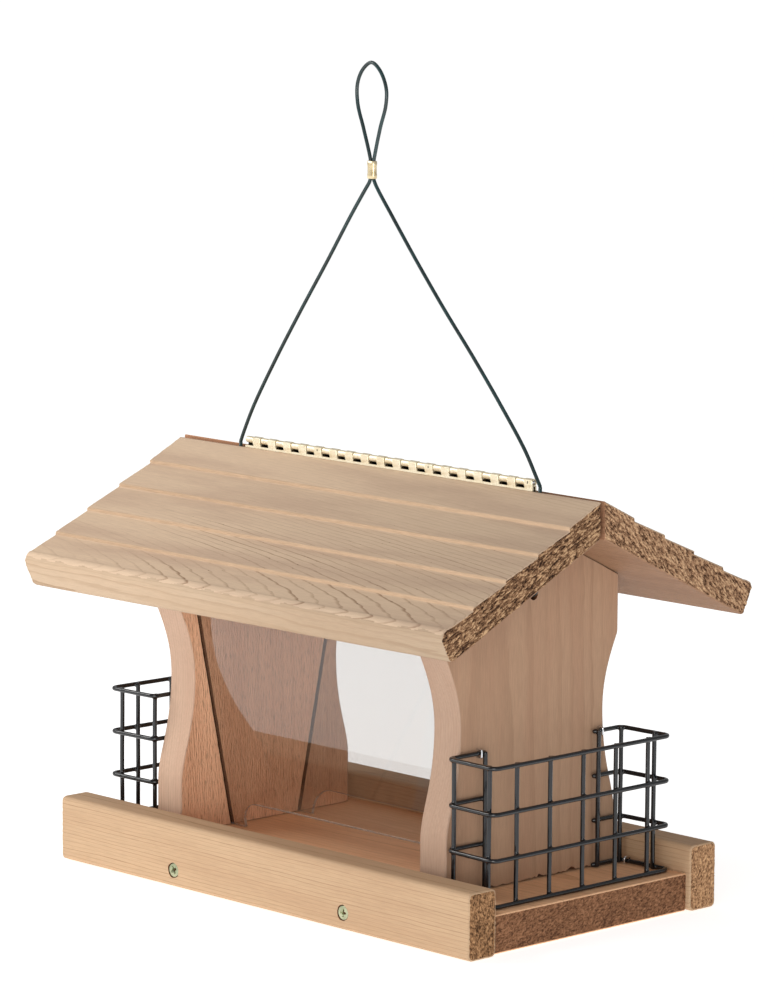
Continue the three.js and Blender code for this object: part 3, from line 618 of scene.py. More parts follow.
def wood_floor():
    half = FLOOR_WIDTH / 2 - GAP
    xs = spaced(-FLOOR_LENGTH / 2, FLOOR_LENGTH / 2, 4.0, (0, 0.3, 0.7, 1.2))
    ys = spaced(-half, half, 0.95, (0, 0.3, 0.8, 1.5))
    zs = spaced(0, FLOOR_THICKNESS, 0.85, (0, 0.3, 0.8, 1.5))
    A, B, C = np.meshgrid(xs, ys, zs, indexing="ij")
    B, C = rounded(B, C, (-half, 0), (half, FLOOR_THICKNESS), 1.0)
    drop = end_rounding(np.stack([A], -1), FLOOR_LENGTH, 0.8)
    C = FLOOR_THICKNESS / 2 + (C - FLOOR_THICKNESS / 2) * (1 - drop / (FLOOR_THICKNESS / 2))
    P = np.stack([A, B, C], -1)
    points, faces, sides, on = lattice(P, (1, 1, 0, 0, 0, 0))
    points, pit = cap_relief(P, on, (-FLOOR_LENGTH / 2, FLOOR_LENGTH / 2), 9, (0.5, 0.8, 1.0), 0.3)
    # painted light: the floor is painted lighter, standing in for light that the lamps don't bring into the hopper
    top = wood(
        "floor_cedar", (240, 192, 150), (192, 144, 104), X, Y, -Z, (0, 0, FLOOR_THICKNESS),
        pith=(20, 28), taper=0.03, pitch=3.6, wander=1.6, line=0.55, line_width=0.4,
        tint=(220, 170, 130), tint_amount=0.5, streaks=0.1, seed=11,
    )
    board = make(
        "floor_board_cedar", points, faces, "house", "floor_board", "cedar_floor",
        [top, ends_floor, hole_wood], sides, attributes={"pit": pit},
    )
    cutters = [
        ragged_hole(Vector((end * 110.8, side * 34, 0)), Z, 4.35, 2.0, 0.4, end * 3 + side)
        for end in BOTH for side in BOTH
    ]
    cut(board, cutters)
    sharp_shade(board, 60)
    return board


# Half width of a side panel at each height: the straight foot, the waist, the shoulder.
WAIST_IN = ((67.4, 52), (67.4, 68), (57.6, 80), (57.1, 113))
WAIST_OUT = ((57.1, 113), (57, 129), (61.5, 141), (68.6, 156))


def bezier(controls, count):
    t = np.linspace(0, 1, count)[:, None]
    a, b, c, d = (np.array(p, float) for p in controls)
    return (1 - t) ** 3 * a + 3 * (1 - t) ** 2 * t * b + 3 * (1 - t) * t**2 * c + t**3 * d


PANEL_PROFILE = np.vstack([[(67.4, 22)], bezier(WAIST_IN, 24), bezier(WAIST_OUT, 24)[1:], [(68.6, 230)]])


def half_width(z):
    return np.interp(z, PANEL_PROFILE[:, 1], PANEL_PROFILE[:, 0])


def roof_underside(y):
    return (
        RIDGE_HEIGHT - ROOF_THICKNESS / math.cos(ROOF_SLOPE) - (np.abs(y) - RIDGE_HALF_GAP) * math.tan(ROOF_SLOPE)
    )


FOOT_FADE = 14.0  # height over which the torn foot of a panel settles into its straight grain


def wood_panel(end):
    name = "left" if end < 0 else "right"
    us = np.concatenate([-spaced(0, 1, 1 / 38, (0, 0.006, 0.015))[::-1], spaced(0, 1, 1 / 38, (0, 0.006, 0.015))[1:]])
    vs = spaced(0, 1, 1 / 92, (0, 0.003, 0.008))
    ts = np.array([0, 0.25, 0.7, 1.4, 5, 10.5, 16, 19.6, 20.3, 20.75, 21])
    T, U, V = np.meshgrid(ts, us, vs, indexing="ij")
    top = roof_underside(U * 68.6) - GAP - 0.2
    bottom = FLOOR_THICKNESS + GAP
    C = bottom + V * (top - bottom)
    B = U * half_width(C)
    ease = np.minimum(T, 21 - T)
    drop = np.where(ease < 1.0, 0.9 * (1 - np.sqrt(np.clip(1 - (1 - ease) ** 2, 0, 1))), 0)
    B = B - np.sign(U) * drop * np.abs(U) ** 6
    P = np.stack([end * (PANEL_INNER + T), B, C], -1)
    points, faces, sides, on = lattice(P, (2, 0, 1, 1, 3, 3))
    inner = T[on] < 0.1
    rough = field(points[inner], (0.1, 0.5, 0.055), 31 + end, 3)
    points[inner, 0] += end * np.clip(0.22 * rough + 0.12, 0, 0.6)
    outer = T[on] > 20.9
    points[outer, 0] -= end * np.clip(0.1 * field(points[outer], (0.1, 0.05, 0.01), 41 + end) + 0.08, 0, 0.4)
    near_foot = points[:, 2] < bottom + FOOT_FADE
    torn = np.clip(field(points[near_foot], (0.25, 0.5, 0.0), 51 + end, 3) + 0.2, 0, 1)
    outside = (T[on][near_foot] > 19) | (np.abs(U[on][near_foot]) > 0.98)
    lift = np.where(outside, 0.4 + 2.4 * torn, 0.15)
    points[near_foot, 2] += lift * (1 - (points[near_foot, 2] - bottom) / FOOT_FADE)
    face = wood(
        f"{name}_panel_outside", (178, 144, 117), (150, 116, 91), Z, Y, -end * X, (end * PANEL_OUTER, 0, 0),
        pith=(-34 if end > 0 else 30, 60), taper=0.02, pitch=6.5, wander=2.4, line=0.45, line_width=0.55,
        tint=(172, 134, 108), tint_amount=0.55, streaks=0.1, seed=21 + end,
    )
    # painted shade: the right panel's edge is painted darker than the left's, as lit and shaded copies of one edge for
    # the weaker light at the right end
    edge = wood(
        f"{name}_panel_edge", (208, 176, 152) if end < 0 else (186, 157, 136), (172, 136, 112), Z, X, Y,
        (end * PANEL_OUTER, 0, 0),
        pith=(-150 * end, 0), taper=0.008, pitch=1.9, wander=0.35, line=0.42, line_width=0.4,
        tint=(198, 162, 138) if end < 0 else (178, 146, 124), tint_amount=0.4, streaks=0.1, seed=25 + end,
    )
    # painted light: the inside faces are painted much lighter than the outside, standing in for light that the lamps
    # don't bring into the hopper; the saw fuzz is real
    inside = wood(
        f"{name}_panel_inside", (246, 192, 154), (218, 160, 122), Z, Y, end * X, (end * PANEL_INNER, 0, 0),
        pith=(-40, 60), taper=0.02, pitch=5.5, wander=2.0, line=0.4, line_width=0.5,
        tint=(234, 176, 138), tint_amount=0.55, streaks=0.12, fuzz=0.42, bump=0.0003, seed=29 + end, roughness=0.85,
    )
    panel = make(
        name + "_side_board", points, faces, "house", name + "_side_panel", "cedar_panel",
        [face, edge, inside, hole_wood, groove_wood], sides, attributes={"pit": np.full(len(points), 0.4)},
    )
    cutters = [groove_cutter(end, slope) for slope in BOTH]
    hole, hole_faces = tube([(end * x, 0, 185) for x in (80, 100, 120, 140)], 3.05, 24)
    cutters.append((hole, hole_faces))
    tilt = math.radians(15)
    seat = np.array((end * 104.4, -40, 185))
    run = np.array((end * math.sin(tilt), 0, math.cos(tilt)))
    cutters.append(tube([seat - run * 34, seat - run * 17, seat], 4.3, 24))
    cutters.append(tube([seat - run, seat + run * 20, seat + run * 45], 2.2, 16))
    cut(panel, cutters)
    sharp_shade(panel, 60)
    return panel


def groove_cutter(end, slope):
    """The saw cut that holds a window, slightly wandering along its length."""
    half = 1.35
    points, faces, count = [], [], 48
    for step in range(count + 1):
        along = -6 + step * 210 / count
        wander = 0.14 * noise.noise(Vector((along * 0.06, end * 7.0, slope * 3.0)))
        foot = slope * WINDOW_FOOT + slope * math.sin(LEAN) * along
        height = FLOOR_THICKNESS + math.cos(LEAN) * along
        for x, y in ((-5, -half), (5, -half), (5, half), (-5, half)):
            points.append((end * (PANEL_INNER + x), foot + (y + wander) / math.cos(LEAN), height))
    for step in range(count):
        a, b = 4 * step, 4 * step + 4
        for side in range(4):
            after = (side + 1) % 4
            faces.append([a + side, a + after, b + after, b + side])
    faces.append([3, 2, 1, 0])
    faces.append([4 * count + i for i in range(4)])
    return np.array(points), faces


# painted shade: the walls of the window grooves and of the holes cut in the panels are painted far darker than the
# board, for the shade inside them; the saw fuzz is real
groove_wood = wood(
    "groove_cedar", (120, 78, 52), (84, 52, 34), Z, Y, X, pitch=3.0, streaks=0.2, fuzz=0.5, seed=61, roughness=0.9,
)


# ------------------------------------------------------------------ roof


EAVE_RADII = {-1: (5.5, 4.0), 1: (3.0, 1.8)}  # at the top and at the drip of each half's eave
EAVE_DROOP = 2.6  # the front half is a little thicker at the eave towards its left end
RIDGE_LIFT = 1.3  # the rear half stands a little proud of the front one at its left end


def wood_roof(slope):
    name = "front" if slope < 0 else "rear"
    course = SLOPE_LENGTH / COURSES
    stations = [(0, 0.0, 0), (0.5, 0.0, 0)]
    for step in range(COURSES):
        start, stop = step * course, (step + 1) * course
        first = 2.0 if step == 0 else 1.4
        low = 0 if step == 0 else STEP_DEPTH
        for s in np.linspace(start + first, stop - 2.2, 32):
            stations.append((s, low * (1 - (s - start) / course), 0))
        if step < COURSES - 1:
            for s, t in ((-1.1, 0.02), (-0.7, 0.1), (-0.38, 0.3), (-0.14, 0.65), (0.0, 1.05), (0.18, 1.4), (0.5, 1.6)):
                stations.append((stop + s, t, 1))
    stations = np.array(stations)
    eave = np.array([6.0, 5.2, 4.4, 3.6, 2.9, 2.2, 1.5, 0.9, 0.45, 0.15, 0])
    stations = stations[stations[:, 0] < SLOPE_LENGTH - 6.4]
    stations = np.vstack([stations, [(SLOPE_LENGTH - e, 0.0, 0) for e in eave]])
    xs = spaced(-ROOF_LENGTH / 2, ROOF_LENGTH / 2, 2.6, (0, 0.3, 0.7, 1.3))
    ts = spaced(0, 1, 1 / 28, (0, 0.012, 0.035, 0.07, 0.11))
    A, I, C = np.meshgrid(xs, np.arange(len(stations)), ts, indexing="ij")
    s, t_top, lip = stations[I, 0], stations[I, 1], stations[I, 2]
    jitter = noise_line(A, s, slope)
    left_share, eave_share = 0.5 - A / ROOF_LENGTH, np.clip((s - 85) / 45, 0, 1)
    thickness = ROOF_THICKNESS + (EAVE_DROOP * left_share * eave_share if slope < 0 else 0)
    t = t_top + C * (thickness - t_top)
    s = s + lip * jitter * (1 - C)
    s = s + t * math.tan(ROOF_SLOPE) * np.clip(1 - s / 30, 0, 1)
    s, t = rounded_eave(A, s, t, slope, thickness)
    drop = end_rounding(np.stack([A], -1), ROOF_LENGTH, 1.0)
    t = t + drop * np.where(C < 0.5, 1, -1) * np.clip(np.abs(C - 0.5) * 2, 0, 1) ** 4 * 0.8
    y = RIDGE_HALF_GAP + s * math.cos(ROOF_SLOPE) - t * math.sin(ROOF_SLOPE)
    z = RIDGE_HEIGHT - s * math.sin(ROOF_SLOPE) - t * math.cos(ROOF_SLOPE)
    y = np.maximum(y, RIDGE_HALF_GAP)
    if slope > 0:
        z = z + RIDGE_LIFT * (0.5 - A / ROOF_LENGTH) * np.clip(1 - s / 70, 0, 1)
    P = np.stack([A, slope * y, z], -1)
    points, faces, sides, on = lattice(P, (1, 1, 4, 2, 0, 3))
    ends = (-ROOF_LENGTH / 2, ROOF_LENGTH / 2)
    points, pit = cap_relief(P, on, ends, 70 + slope, (0.5, 0.26, 0.95), 0.55, ROOF_STROKES[slope])
    points[:, 0] += ROOF_MIDDLE
    centre_s = s[on][faces].mean(1)
    on_lip = lip[on][faces].min(1) > 0.5
    sides = np.where((sides == 0) & on_lip, 5, sides)
    centre_x = points[faces, 0].mean(1)
    torn = np.array([noise.noise(Vector((x * 0.12, slope * 4.0, 0.5))) for x in centre_x])
    sides = np.where((sides == 0) & (centre_s > SLOPE_LENGTH - 2.0 - 1.6 * torn), 2, sides)
    down = Vector((0, slope * math.cos(ROOF_SLOPE), -math.sin(ROOF_SLOPE)))
    into = Vector((0, -slope * math.sin(ROOF_SLOPE), -math.cos(ROOF_SLOPE)))
    eave_point = Vector((0, slope * RIDGE_HALF_GAP, RIDGE_HEIGHT)) + down * SLOPE_LENGTH
    top = wood(
        f"roof_{name}_top", (222, 194, 165), (150, 115, 86), X, -down, into, tuple(eave_point),
        pith=(-4, 83) if slope < 0 else (-12, 90), taper=0.11 if slope < 0 else -0.1, pitch=2.05,
        wander=0.9, line=0.78, line_width=0.27, tint=(198, 168, 144), tint_amount=0.65, streaks=0.08,
        # painted shade: the roof's top darkens towards its right end, for the key light falling off from the left
        flecks=0.85, seed=71 + slope, fade=(48, 100, 0.3), painted_falloff=(1.03, 0.82),
    )
    fascia = wood(
        f"roof_{name}_eave", (196, 171, 144), (152, 121, 92), X, Z, -slope * Y, tuple(eave_point),
        pith=(-70, 60), taper=0.01, pitch=1.9, wander=1.0, line=0.6, line_width=0.4,
        # painted shade: the eave darkens towards its right end in the same way
        tint=(190, 160, 130), tint_amount=0.4, streaks=0.08, seed=75 + slope, painted_falloff=(1.08, 0.8),
    )
    under = wood(
        f"roof_{name}_under", (168, 130, 101), (134, 99, 73), X, down, -into, tuple(eave_point),
        pith=(60, 40), taper=0.04, pitch=4.0, wander=2.0, line=0.4, line_width=0.4,
        tint=(152, 114, 87), tint_amount=0.5, streaks=0.14, fuzz=0.25, seed=79 + slope,
    )
    # the plumb cut in the ridge gap: its colour darkens strongly towards the right end, painted shade in the gap
    ridge_cut_gap_shade = wood(
        f"roof_{name}_ridge", (196, 146, 112), (150, 104, 76), X, Z, slope * Y, pitch=3.0, streaks=0.15, seed=83,
        painted_falloff=(1.05, 0.62),
    )
    lips = wood(
        f"roof_{name}_lips", (206, 176, 146), (188, 155, 122), X, -down, into, tuple(eave_point),
        pith=(-70, 60), pitch=2.0, wander=1.0, line=0.25, streaks=0.12, seed=87, roughness=0.8, bump=0.0003,
    )
    return make(
        f"roof_{name}_board", points, faces, "house" if slope < 0 else "lid", f"roof_{name}_panel", "cedar_roof",
        [top, ends_roof[slope], fascia, under, ridge_cut_gap_shade, lips], sides, attributes={"pit": pit},
    )


def noise_line(x, s, seed):
    """How far each lip wanders along its length."""
    course = np.round(s / (SLOPE_LENGTH / COURSES))
    out = np.zeros(x.shape)
    for step in range(1, COURSES):
        mask = course == step
        row = np.unique(x[mask])
        offsets = [
            0.24 * noise.noise(Vector((v * 0.05, step * 9.1, seed * 3.3)))
            + 0.1 * noise.noise(Vector((v * 0.31, step * 5.7, seed * 2.1)))
            for v in row
        ]
        out[mask] = np.interp(x[mask], row, offsets)
    return out


def rounded_eave(x, s, t, slope, thickness):
    """Pulls the two arrises of the eave in to their radii, which vary a little along the board."""
    top, bottom = EAVE_RADII[slope]
    row = np.unique(x)
    uneven = np.array([1 + 0.12 * noise.noise(Vector((v * 0.02, 3.0, slope))) for v in row])
    vary = np.interp(x, row, uneven)
    above = t < thickness / 2
    radius = np.where(above, top, bottom) * vary
    centre_s = np.minimum(s, SLOPE_LENGTH - radius)
    centre_t = np.where(above, np.maximum(t, radius), np.minimum(t, thickness - radius))
    ds, dt = s - centre_s, t - centre_t
    length = np.hypot(ds, dt)
    scale = np.where(length > 1e-9, np.maximum(np.abs(ds), np.abs(dt)) / np.maximum(length, 1e-9), 1)
    return centre_s + ds * scale, centre_t + dt * scale


front_rail, rear_rail = (wood_rail(slope) for slope in BOTH)
wood_floor()
for end in BOTH:
    wood_panel(end)
for slope in BOTH:
    wood_roof(slope)

# ------------------------------------------------------------------ windows


SHEET_FACES = 1.8  # both faces of the sheet reflect, and the outer one stands for the two


def window_finishes():
    graph = Graph("clear_sheet")
    clear = graph.node("BsdfTransparent", Color=(0.905, 0.9, 0.895, 1.0))
    gloss = graph.node("BsdfGlossy", Roughness=0.02)
    facing = graph.node("Fresnel", IOR=1.5)
    front = graph.math("SUBTRACT", 1.0, graph.node("NewGeometry").outputs["Backfacing"])
    mixed = graph.node("MixShader")
    graph.put(mixed.inputs[0], graph.times(facing.outputs[0], front, SHEET_FACES))
    graph.put(mixed.inputs[1], clear.outputs[0])
    graph.put(mixed.inputs[2], gloss.outputs[0])
    graph.put(graph.output.inputs[0], mixed.outputs[0])
    edge = Graph("sheet_edge")
    saw = edge.noise(edge.node("TexCoord").outputs["Object"], 400.0, 2.0)
    cut_edge = edge.mix(edge.spread(saw, 0.3, 0.7), (128, 124, 118), (176, 172, 164))
    edge.shade(cut_edge, 0.35, saw, 0.0001)
    frosted = edge.output.inputs[0].links[0].from_socket
    partly = edge.node("MixShader")
    edge.put(partly.inputs[0], 0.55)
    edge.put(partly.inputs[1], edge.node("BsdfTransparent").outputs[0])
    edge.put(partly.inputs[2], frosted)
    edge.put(edge.output.inputs[0], partly.outputs[0])
    return graph.material, edge.material


SHEET, SHEET_EDGE = window_finishes()


def arc(centre, radius, start, stop, steps=10):
    angles = np.radians(np.linspace(start, stop, steps + 1))
    return [(centre[0] + radius * math.cos(a), centre[1] + radius * math.sin(a)) for a in angles]


def window(slope):
    name = "front" if slope < 0 else "rear"
    half, height, thick, arris = PANEL_INNER + 5 - 0.4, 168.5, 1.0, 0.25
    outline = [(-half, 0), (-88, 0), *arc((-76, 3.6), 12, 180, 90), *arc((76, 3.6), 12, 90, 0), (88, 0), (half, 0)]
    outline += [*arc((half - 2, height - 2), 2, 0, 90, 5), *arc((2 - half, height - 2), 2, 90, 180, 5)]
    outline = np.array(outline)
    count = len(outline)
    before, after = np.roll(outline, 1, 0), np.roll(outline, -1, 0)
    edge_a, edge_b = outline - before, after - outline
    edge_a /= np.linalg.norm(edge_a, axis=1)[:, None]
    edge_b /= np.linalg.norm(edge_b, axis=1)[:, None]
    inward = np.stack([-(edge_a + edge_b)[:, 1], (edge_a + edge_b)[:, 0]], -1)
    inward /= np.maximum(np.linalg.norm(inward, axis=1), 1e-6)[:, None]
    area = 0.5 * np.sum(outline[:, 0] * after[:, 1] - after[:, 0] * outline[:, 1])
    inward *= math.copysign(1, area)
    rings, faces, slots = [], [], []
    corner_drop = thick * math.sin(LEAN)
    for depth, inset in ((-thick, arris), (arris - thick, 0), (thick - arris, 0), (thick, arris)):
        flat = outline + inward * inset
        foot = slope * WINDOW_FOOT
        y = foot + slope * (flat[:, 1] * math.sin(LEAN) + depth * math.cos(LEAN))
        z = FLOOR_THICKNESS + GAP + corner_drop + flat[:, 1] * math.cos(LEAN) - depth * math.sin(LEAN)
        rings.append(np.stack([flat[:, 0], y, z], -1))
    for ring in range(3):
        for side in range(count):
            following = (side + 1) % count
            a, b = ring * count, (ring + 1) * count
            faces.append([a + side, a + following, b + following, b + side])
            slots.append(1)
    faces += [list(range(count))[::-1], [3 * count + side for side in range(count)]]
    slots += [0, 0]
    make(
        name + "_window_sheet", np.vstack(rings), faces, name + "_window_sheet", name + "_window", "clear_sheet",
        [SHEET, SHEET_EDGE], slots, smooth=False,
    )


for slope in BOTH:
    window(slope)

# ------------------------------------------------------------------ suet cages

WIRE = 1.3
RING_PITCH, RINGS, UPRIGHT_PITCH = 25.8, 4, 26.2
CAGE_X, CAGE_Y = 160, 70.5
FLANGE_X, FLANGE_Y = PANEL_OUTER + GAP + WIRE, 69
FLANGE_ENDS = (41, 47)
CAGE_SHIFT = {-1: 0.5, 1: 1.5}
CAGE_GRID = {-1: 1, 1: 2}
WELD, SIDE_WELD, END_INSET, CAGE_BEND = 2.2, 2.55, 1.4, 4.0
RING_HEIGHTS = [FLOOR_THICKNESS + GAP + WIRE + ring * RING_PITCH for ring in range(RINGS)]


def vinyl():
    graph = Graph("black_vinyl")
    place = graph.node("TexCoord").outputs["Object"]
    lumps = graph.noise(place, 260.0, 3.0)
    dull = graph.noise(place, 70.0, 3.0)
    base = graph.mix(graph.spread(dull, 0.35, 0.7), (5, 8, 12), (13, 17, 24))
    rough = graph.spread(dull, 0.3, 0.7, 0.13, 0.26)
    return graph.shade(base, rough, lumps, 0.0002, Specular_IOR_Level=0.5, Coat_Weight=0.2, Coat_Roughness=0.15)


VINYL = vinyl()


def wobble(points, seed, amount=0.16):
    """Wire that has been bent and coated is never quite straight."""
    out = []
    for p in points:
        shift = [noise.noise(Vector(p) * 0.03 + Vector((seed, axis * 7.7, 0))) for axis in range(3)]
        out.append(np.asarray(p, float) + amount * np.array(shift))
    return out


def filled(corners, step=4.0):
    """The same polyline with points no further apart than the step."""
    out = [np.asarray(corners[0], float)]
    for here, there in zip(corners, corners[1:]):
        here, there = np.asarray(here, float), np.asarray(there, float)
        count = max(1, int(np.linalg.norm(there - here) / step))
        out += [here + (there - here) * k / count for k in range(1, count + 1)]
    return out


def cage(end):
    name = "left" if end < 0 else "right"
    shift, grid = CAGE_SHIFT[end], CAGE_GRID[end]
    plan = [
        (FLANGE_X, -FLANGE_ENDS[0]), (FLANGE_X, -FLANGE_Y), (CAGE_X, -CAGE_Y),
        (CAGE_X, CAGE_Y), (FLANGE_X, FLANGE_Y), (FLANGE_X, FLANGE_ENDS[1]),
    ]
    outer = [(CAGE_X - WELD, grid + step * UPRIGHT_PITCH) for step in (-2, -1, 0, 1, 2)]
    sides = []
    for slope in BOTH:
        past = UPRIGHT_PITCH - (CAGE_Y - (slope * grid + 2 * UPRIGHT_PITCH))
        sides.append((CAGE_X - past, slope * (CAGE_Y - SIDE_WELD)))
    inner = [(FLANGE_X + WELD, slope * (FLANGE_Y - WELD)) for slope in BOTH]
    inner.append((FLANGE_X + WELD, -FLANGE_ENDS[0] - END_INSET))
    inner.append((FLANGE_X + WELD, FLANGE_ENDS[1] + END_INSET))
    uprights = outer + sides + inner
    radius = WIRE + 0.06
    parts, seed = [], 10.0 + end
    for height in RING_HEIGHTS:
        corners = [(end * x, y + shift, height) for x, y in plan]
        route = wobble(filled(bent(corners, CAGE_BEND, 5), 4.0), seed + height, 0.12)
        parts.append(tube(route, radius, 14))
        parts += [ball(route[0], radius, rings=6), ball(route[-1], radius, rings=6)]
    for x, y in uprights:
        low, high = RING_HEIGHTS[0] - 1.0, RING_HEIGHTS[-1] + 1.0
        route = wobble(filled([(end * x, y + shift, low), (end * x, y + shift, high)], 5.0), seed + x, 0.3)
        route[0][2], route[-1][2] = low, high
        parts.append(tube(route, radius, 14))
        for height in RING_HEIGHTS:
            toward = nearest_on_plan((x, y), plan)
            weld = (end * toward[0], toward[1] + shift, height)
            parts.append(ball(weld, 1.62, (1, 1, 0.92), 8, 12))
    points, faces = merge(parts)
    piece = make("suet_cage_" + name + "_wire", points, faces, "house", "suet_cage_" + name, "black_wire", [VINYL])
    remesh = piece.modifiers.new("weld", "REMESH")
    remesh.mode = "VOXEL"
    remesh.voxel_size = 0.5 * MM
    remesh.use_smooth_shade = True
    smooth = piece.modifiers.new("settle", "SMOOTH")
    smooth.factor, smooth.iterations = 0.5, 3
    apply_modifiers(piece)
    piece.data.shade_smooth()
    if not piece.data.materials:
        piece.data.materials.append(VINYL)


def nearest_on_plan(point, plan):
    """Halfway between an upright and the nearest point of the horizontal wire beside it."""
    best, found = 1e9, point
    p = np.asarray(point, float)
    for a, b in zip(plan, plan[1:]):
        a, b = np.asarray(a, float), np.asarray(b, float)
        share = np.clip((p - a).dot(b - a) / (b - a).dot(b - a), 0, 1)
        q = a + share * (b - a)
        if np.linalg.norm(q - p) < best:
            best, found = np.linalg.norm(q - p), (p + q) / 2
    return found


for end in BOTH:
    cage(end)

# ------------------------------------------------------------------ metal


def metal(name, dark, light, roughness, speckle=140.0, scratch=0.1, **settings):
    graph = Graph(name)
    place = graph.node("TexCoord").outputs["Object"]
    patches = graph.noise(place, speckle, 4.0, 0.6)
    fine = graph.noise(place, speckle * 9, 2.0)
    base = graph.mix(graph.spread(patches, 0.3, 0.7), dark, light)
    rough = graph.spread(graph.add(graph.times(patches, 0.7), graph.times(fine, 0.3)), 0.3, 0.7, roughness - scratch, roughness + scratch)
    return graph.shade(base, rough, fine, 0.00003, **{"Metallic": 1.0, **settings})


BRASS = metal("hinge_brass", (236, 220, 186), (250, 240, 214), 0.4, Metallic=0.6)
FERRULE_BRASS = metal("ferrule_brass", (206, 184, 140), (232, 216, 180), 0.34, Metallic=0.85)
# dark brass: the punch marks' own colour, and painted shade on the rear leaf where it shows through the notches
PUNCH_MARK_AND_NOTCH_SHADE = metal("punch_mark_and_notch_shade", (70, 58, 40), (96, 82, 60), 0.6, Metallic=0.4)
ZINC = metal("yellow_zinc", (150, 158, 128), (196, 200, 168), 0.34)
STEEL = metal("bright_steel", (200, 202, 206), (240, 242, 246), 0.2)

HINGE_X, HINGE_LENGTH, KNUCKLES = 1.6, 238.2, 36
PIN_HEIGHT, KNUCKLE_RADIUS, KNUCKLE_BORE = 248.2, 2.2, 1.45
LEAF_THICKNESS, LEAF_BOTTOM = 0.9, 229.2
LEAF_FACE = RIDGE_HALF_GAP - GAP  # outer face of a leaf, against the plumb cut
STRIP_TOP = {-1: 244.8, 1: 246.3}  # between the knuckles
REAR_CURL = 1.85  # the rear leaf's knuckles are rolled a little smaller
PUNCHED_KNUCKLES = (9, 23, 35)


def hinge_leaf(slope):
    """A leaf: a strip in the ridge slot whose knuckles are curled over the pin and come down to it."""
    name = "front" if slope < 0 else "rear"
    start, pitch = HINGE_X - HINGE_LENGTH / 2, HINGE_LENGTH / KNUCKLES
    inner_y = LEAF_FACE - LEAF_THICKNESS
    top = STRIP_TOP[slope]
    parts = [box_part(start, start + HINGE_LENGTH, slope * inner_y, slope * LEAF_FACE, LEAF_BOTTOM, top)]
    first = 1 if slope < 0 else 0
    for knuckle in range(first, KNUCKLES, 2):
        low, high = start + knuckle * pitch + GAP / 2, start + (knuckle + 1) * pitch - GAP / 2
        parts.append(curl(low, high, slope))
    points, faces = merge(parts)
    plain = len(faces)
    if slope < 0:
        marks = []
        for knuckle in PUNCHED_KNUCKLES:
            middle = start + (knuckle + 0.5) * pitch
            marks.append(ball((middle, -KNUCKLE_RADIUS, 248.3), 0.62, (0.7, 0.12, 1.25), 8, 12))
        points, faces = merge([(points, faces), *marks])
    indices = [0] * plain + [1] * (len(faces) - plain)
    if slope > 0:  # the side of the rear leaf that shows through the notches is painted dark: painted shade in the notches
        for index, face in enumerate(faces):
            corners = points[face]
            if np.abs(corners[:, 1] - inner_y).max() < 0.05 and corners[:, 2].max() < 247.0:
                indices[index] = 1
    body = "house" if slope < 0 else "lid"
    piece = make(
        f"hinge_{name}_leaf_brass", points, faces, body, f"hinge_leaf_{name}", "hinge_brass", [BRASS, PUNCH_MARK_AND_NOTCH_SHADE], indices,
    )
    sharp_shade(piece, 30)


def box_part(x0, x1, y0, y1, z0, z1):
    y0, y1 = sorted((y0, y1))
    points = [(x, y, z) for x in (x0, x1) for y in (y0, y1) for z in (z0, z1)]
    faces = [[0, 1, 3, 2], [4, 6, 7, 5], [0, 4, 5, 1], [2, 3, 7, 6], [0, 2, 6, 4], [1, 5, 7, 3]]
    return np.array(points, float), faces


def curl(low, high, slope, arris=0.18):
    """One knuckle: sheet that rises from the leaf, wraps over the pin and ends under it."""
    outline_out, outline_in = [], []
    start = math.radians(-62)
    radius = KNUCKLE_RADIUS if slope < 0 else REAR_CURL
    for step in range(29):
        angle = start + math.radians(340) * step / 28
        c, s = math.cos(angle), math.sin(angle)
        side = radius * c
        if slope < 0 and c > 0:  # the front leaf is pressed flat outside
            side = min(radius, 1.28 * side)
        outline_out.append((slope * side, PIN_HEIGHT + radius * s))
        outline_in.append((slope * KNUCKLE_BORE * c, PIN_HEIGHT + KNUCKLE_BORE * s))
    inner_y = LEAF_FACE - LEAF_THICKNESS
    foot = 244.5
    outline_out = [(slope * LEAF_FACE, foot), (slope * (LEAF_FACE + 0.02), foot + 0.8), *outline_out[2:]]
    outline_in = [(slope * inner_y, foot), (slope * inner_y, foot + 1.4), *outline_in[2:]]
    centre = np.array((0.0, PIN_HEIGHT))
    rows = []
    for x, inset in ((low, arris), (low + arris, 0), (high - arris, 0), (high, arris)):
        out = np.array(outline_out)
        inn = np.array(outline_in)
        out = out + (centre - out) / np.linalg.norm(centre - out, axis=1)[:, None] * inset
        rows.append((np.column_stack([np.full(len(out), x), out]), np.column_stack([np.full(len(inn), x), inn])))
    count = len(outline_out)
    points = np.vstack([np.vstack(pair) for pair in rows])
    faces = []
    for row in range(3):
        a, b = row * 2 * count, (row + 1) * 2 * count
        for k in range(count - 1):
            faces.append([a + k, a + k + 1, b + k + 1, b + k])
            faces.append([a + count + k, b + count + k, b + count + k + 1, a + count + k + 1])
        for k in (0, count - 1):
            faces.append([a + k, b + k, b + count + k, a + count + k])
    for base in (0, 3 * 2 * count):
        for k in range(count - 1):
            faces.append([base + k, base + count + k, base + count + k + 1, base + k + 1])
    return points, faces


for slope in BOTH:
    hinge_leaf(slope)
half_pin = HINGE_LENGTH / 2 - GAP
pin = tube([(HINGE_X + x, 0, PIN_HEIGHT) for x in np.linspace(-half_pin, half_pin, 9)], 1.15, 20)
make("hinge_pin_rod", *pin, "house", "hinge_pin", "bright_steel", [STEEL])


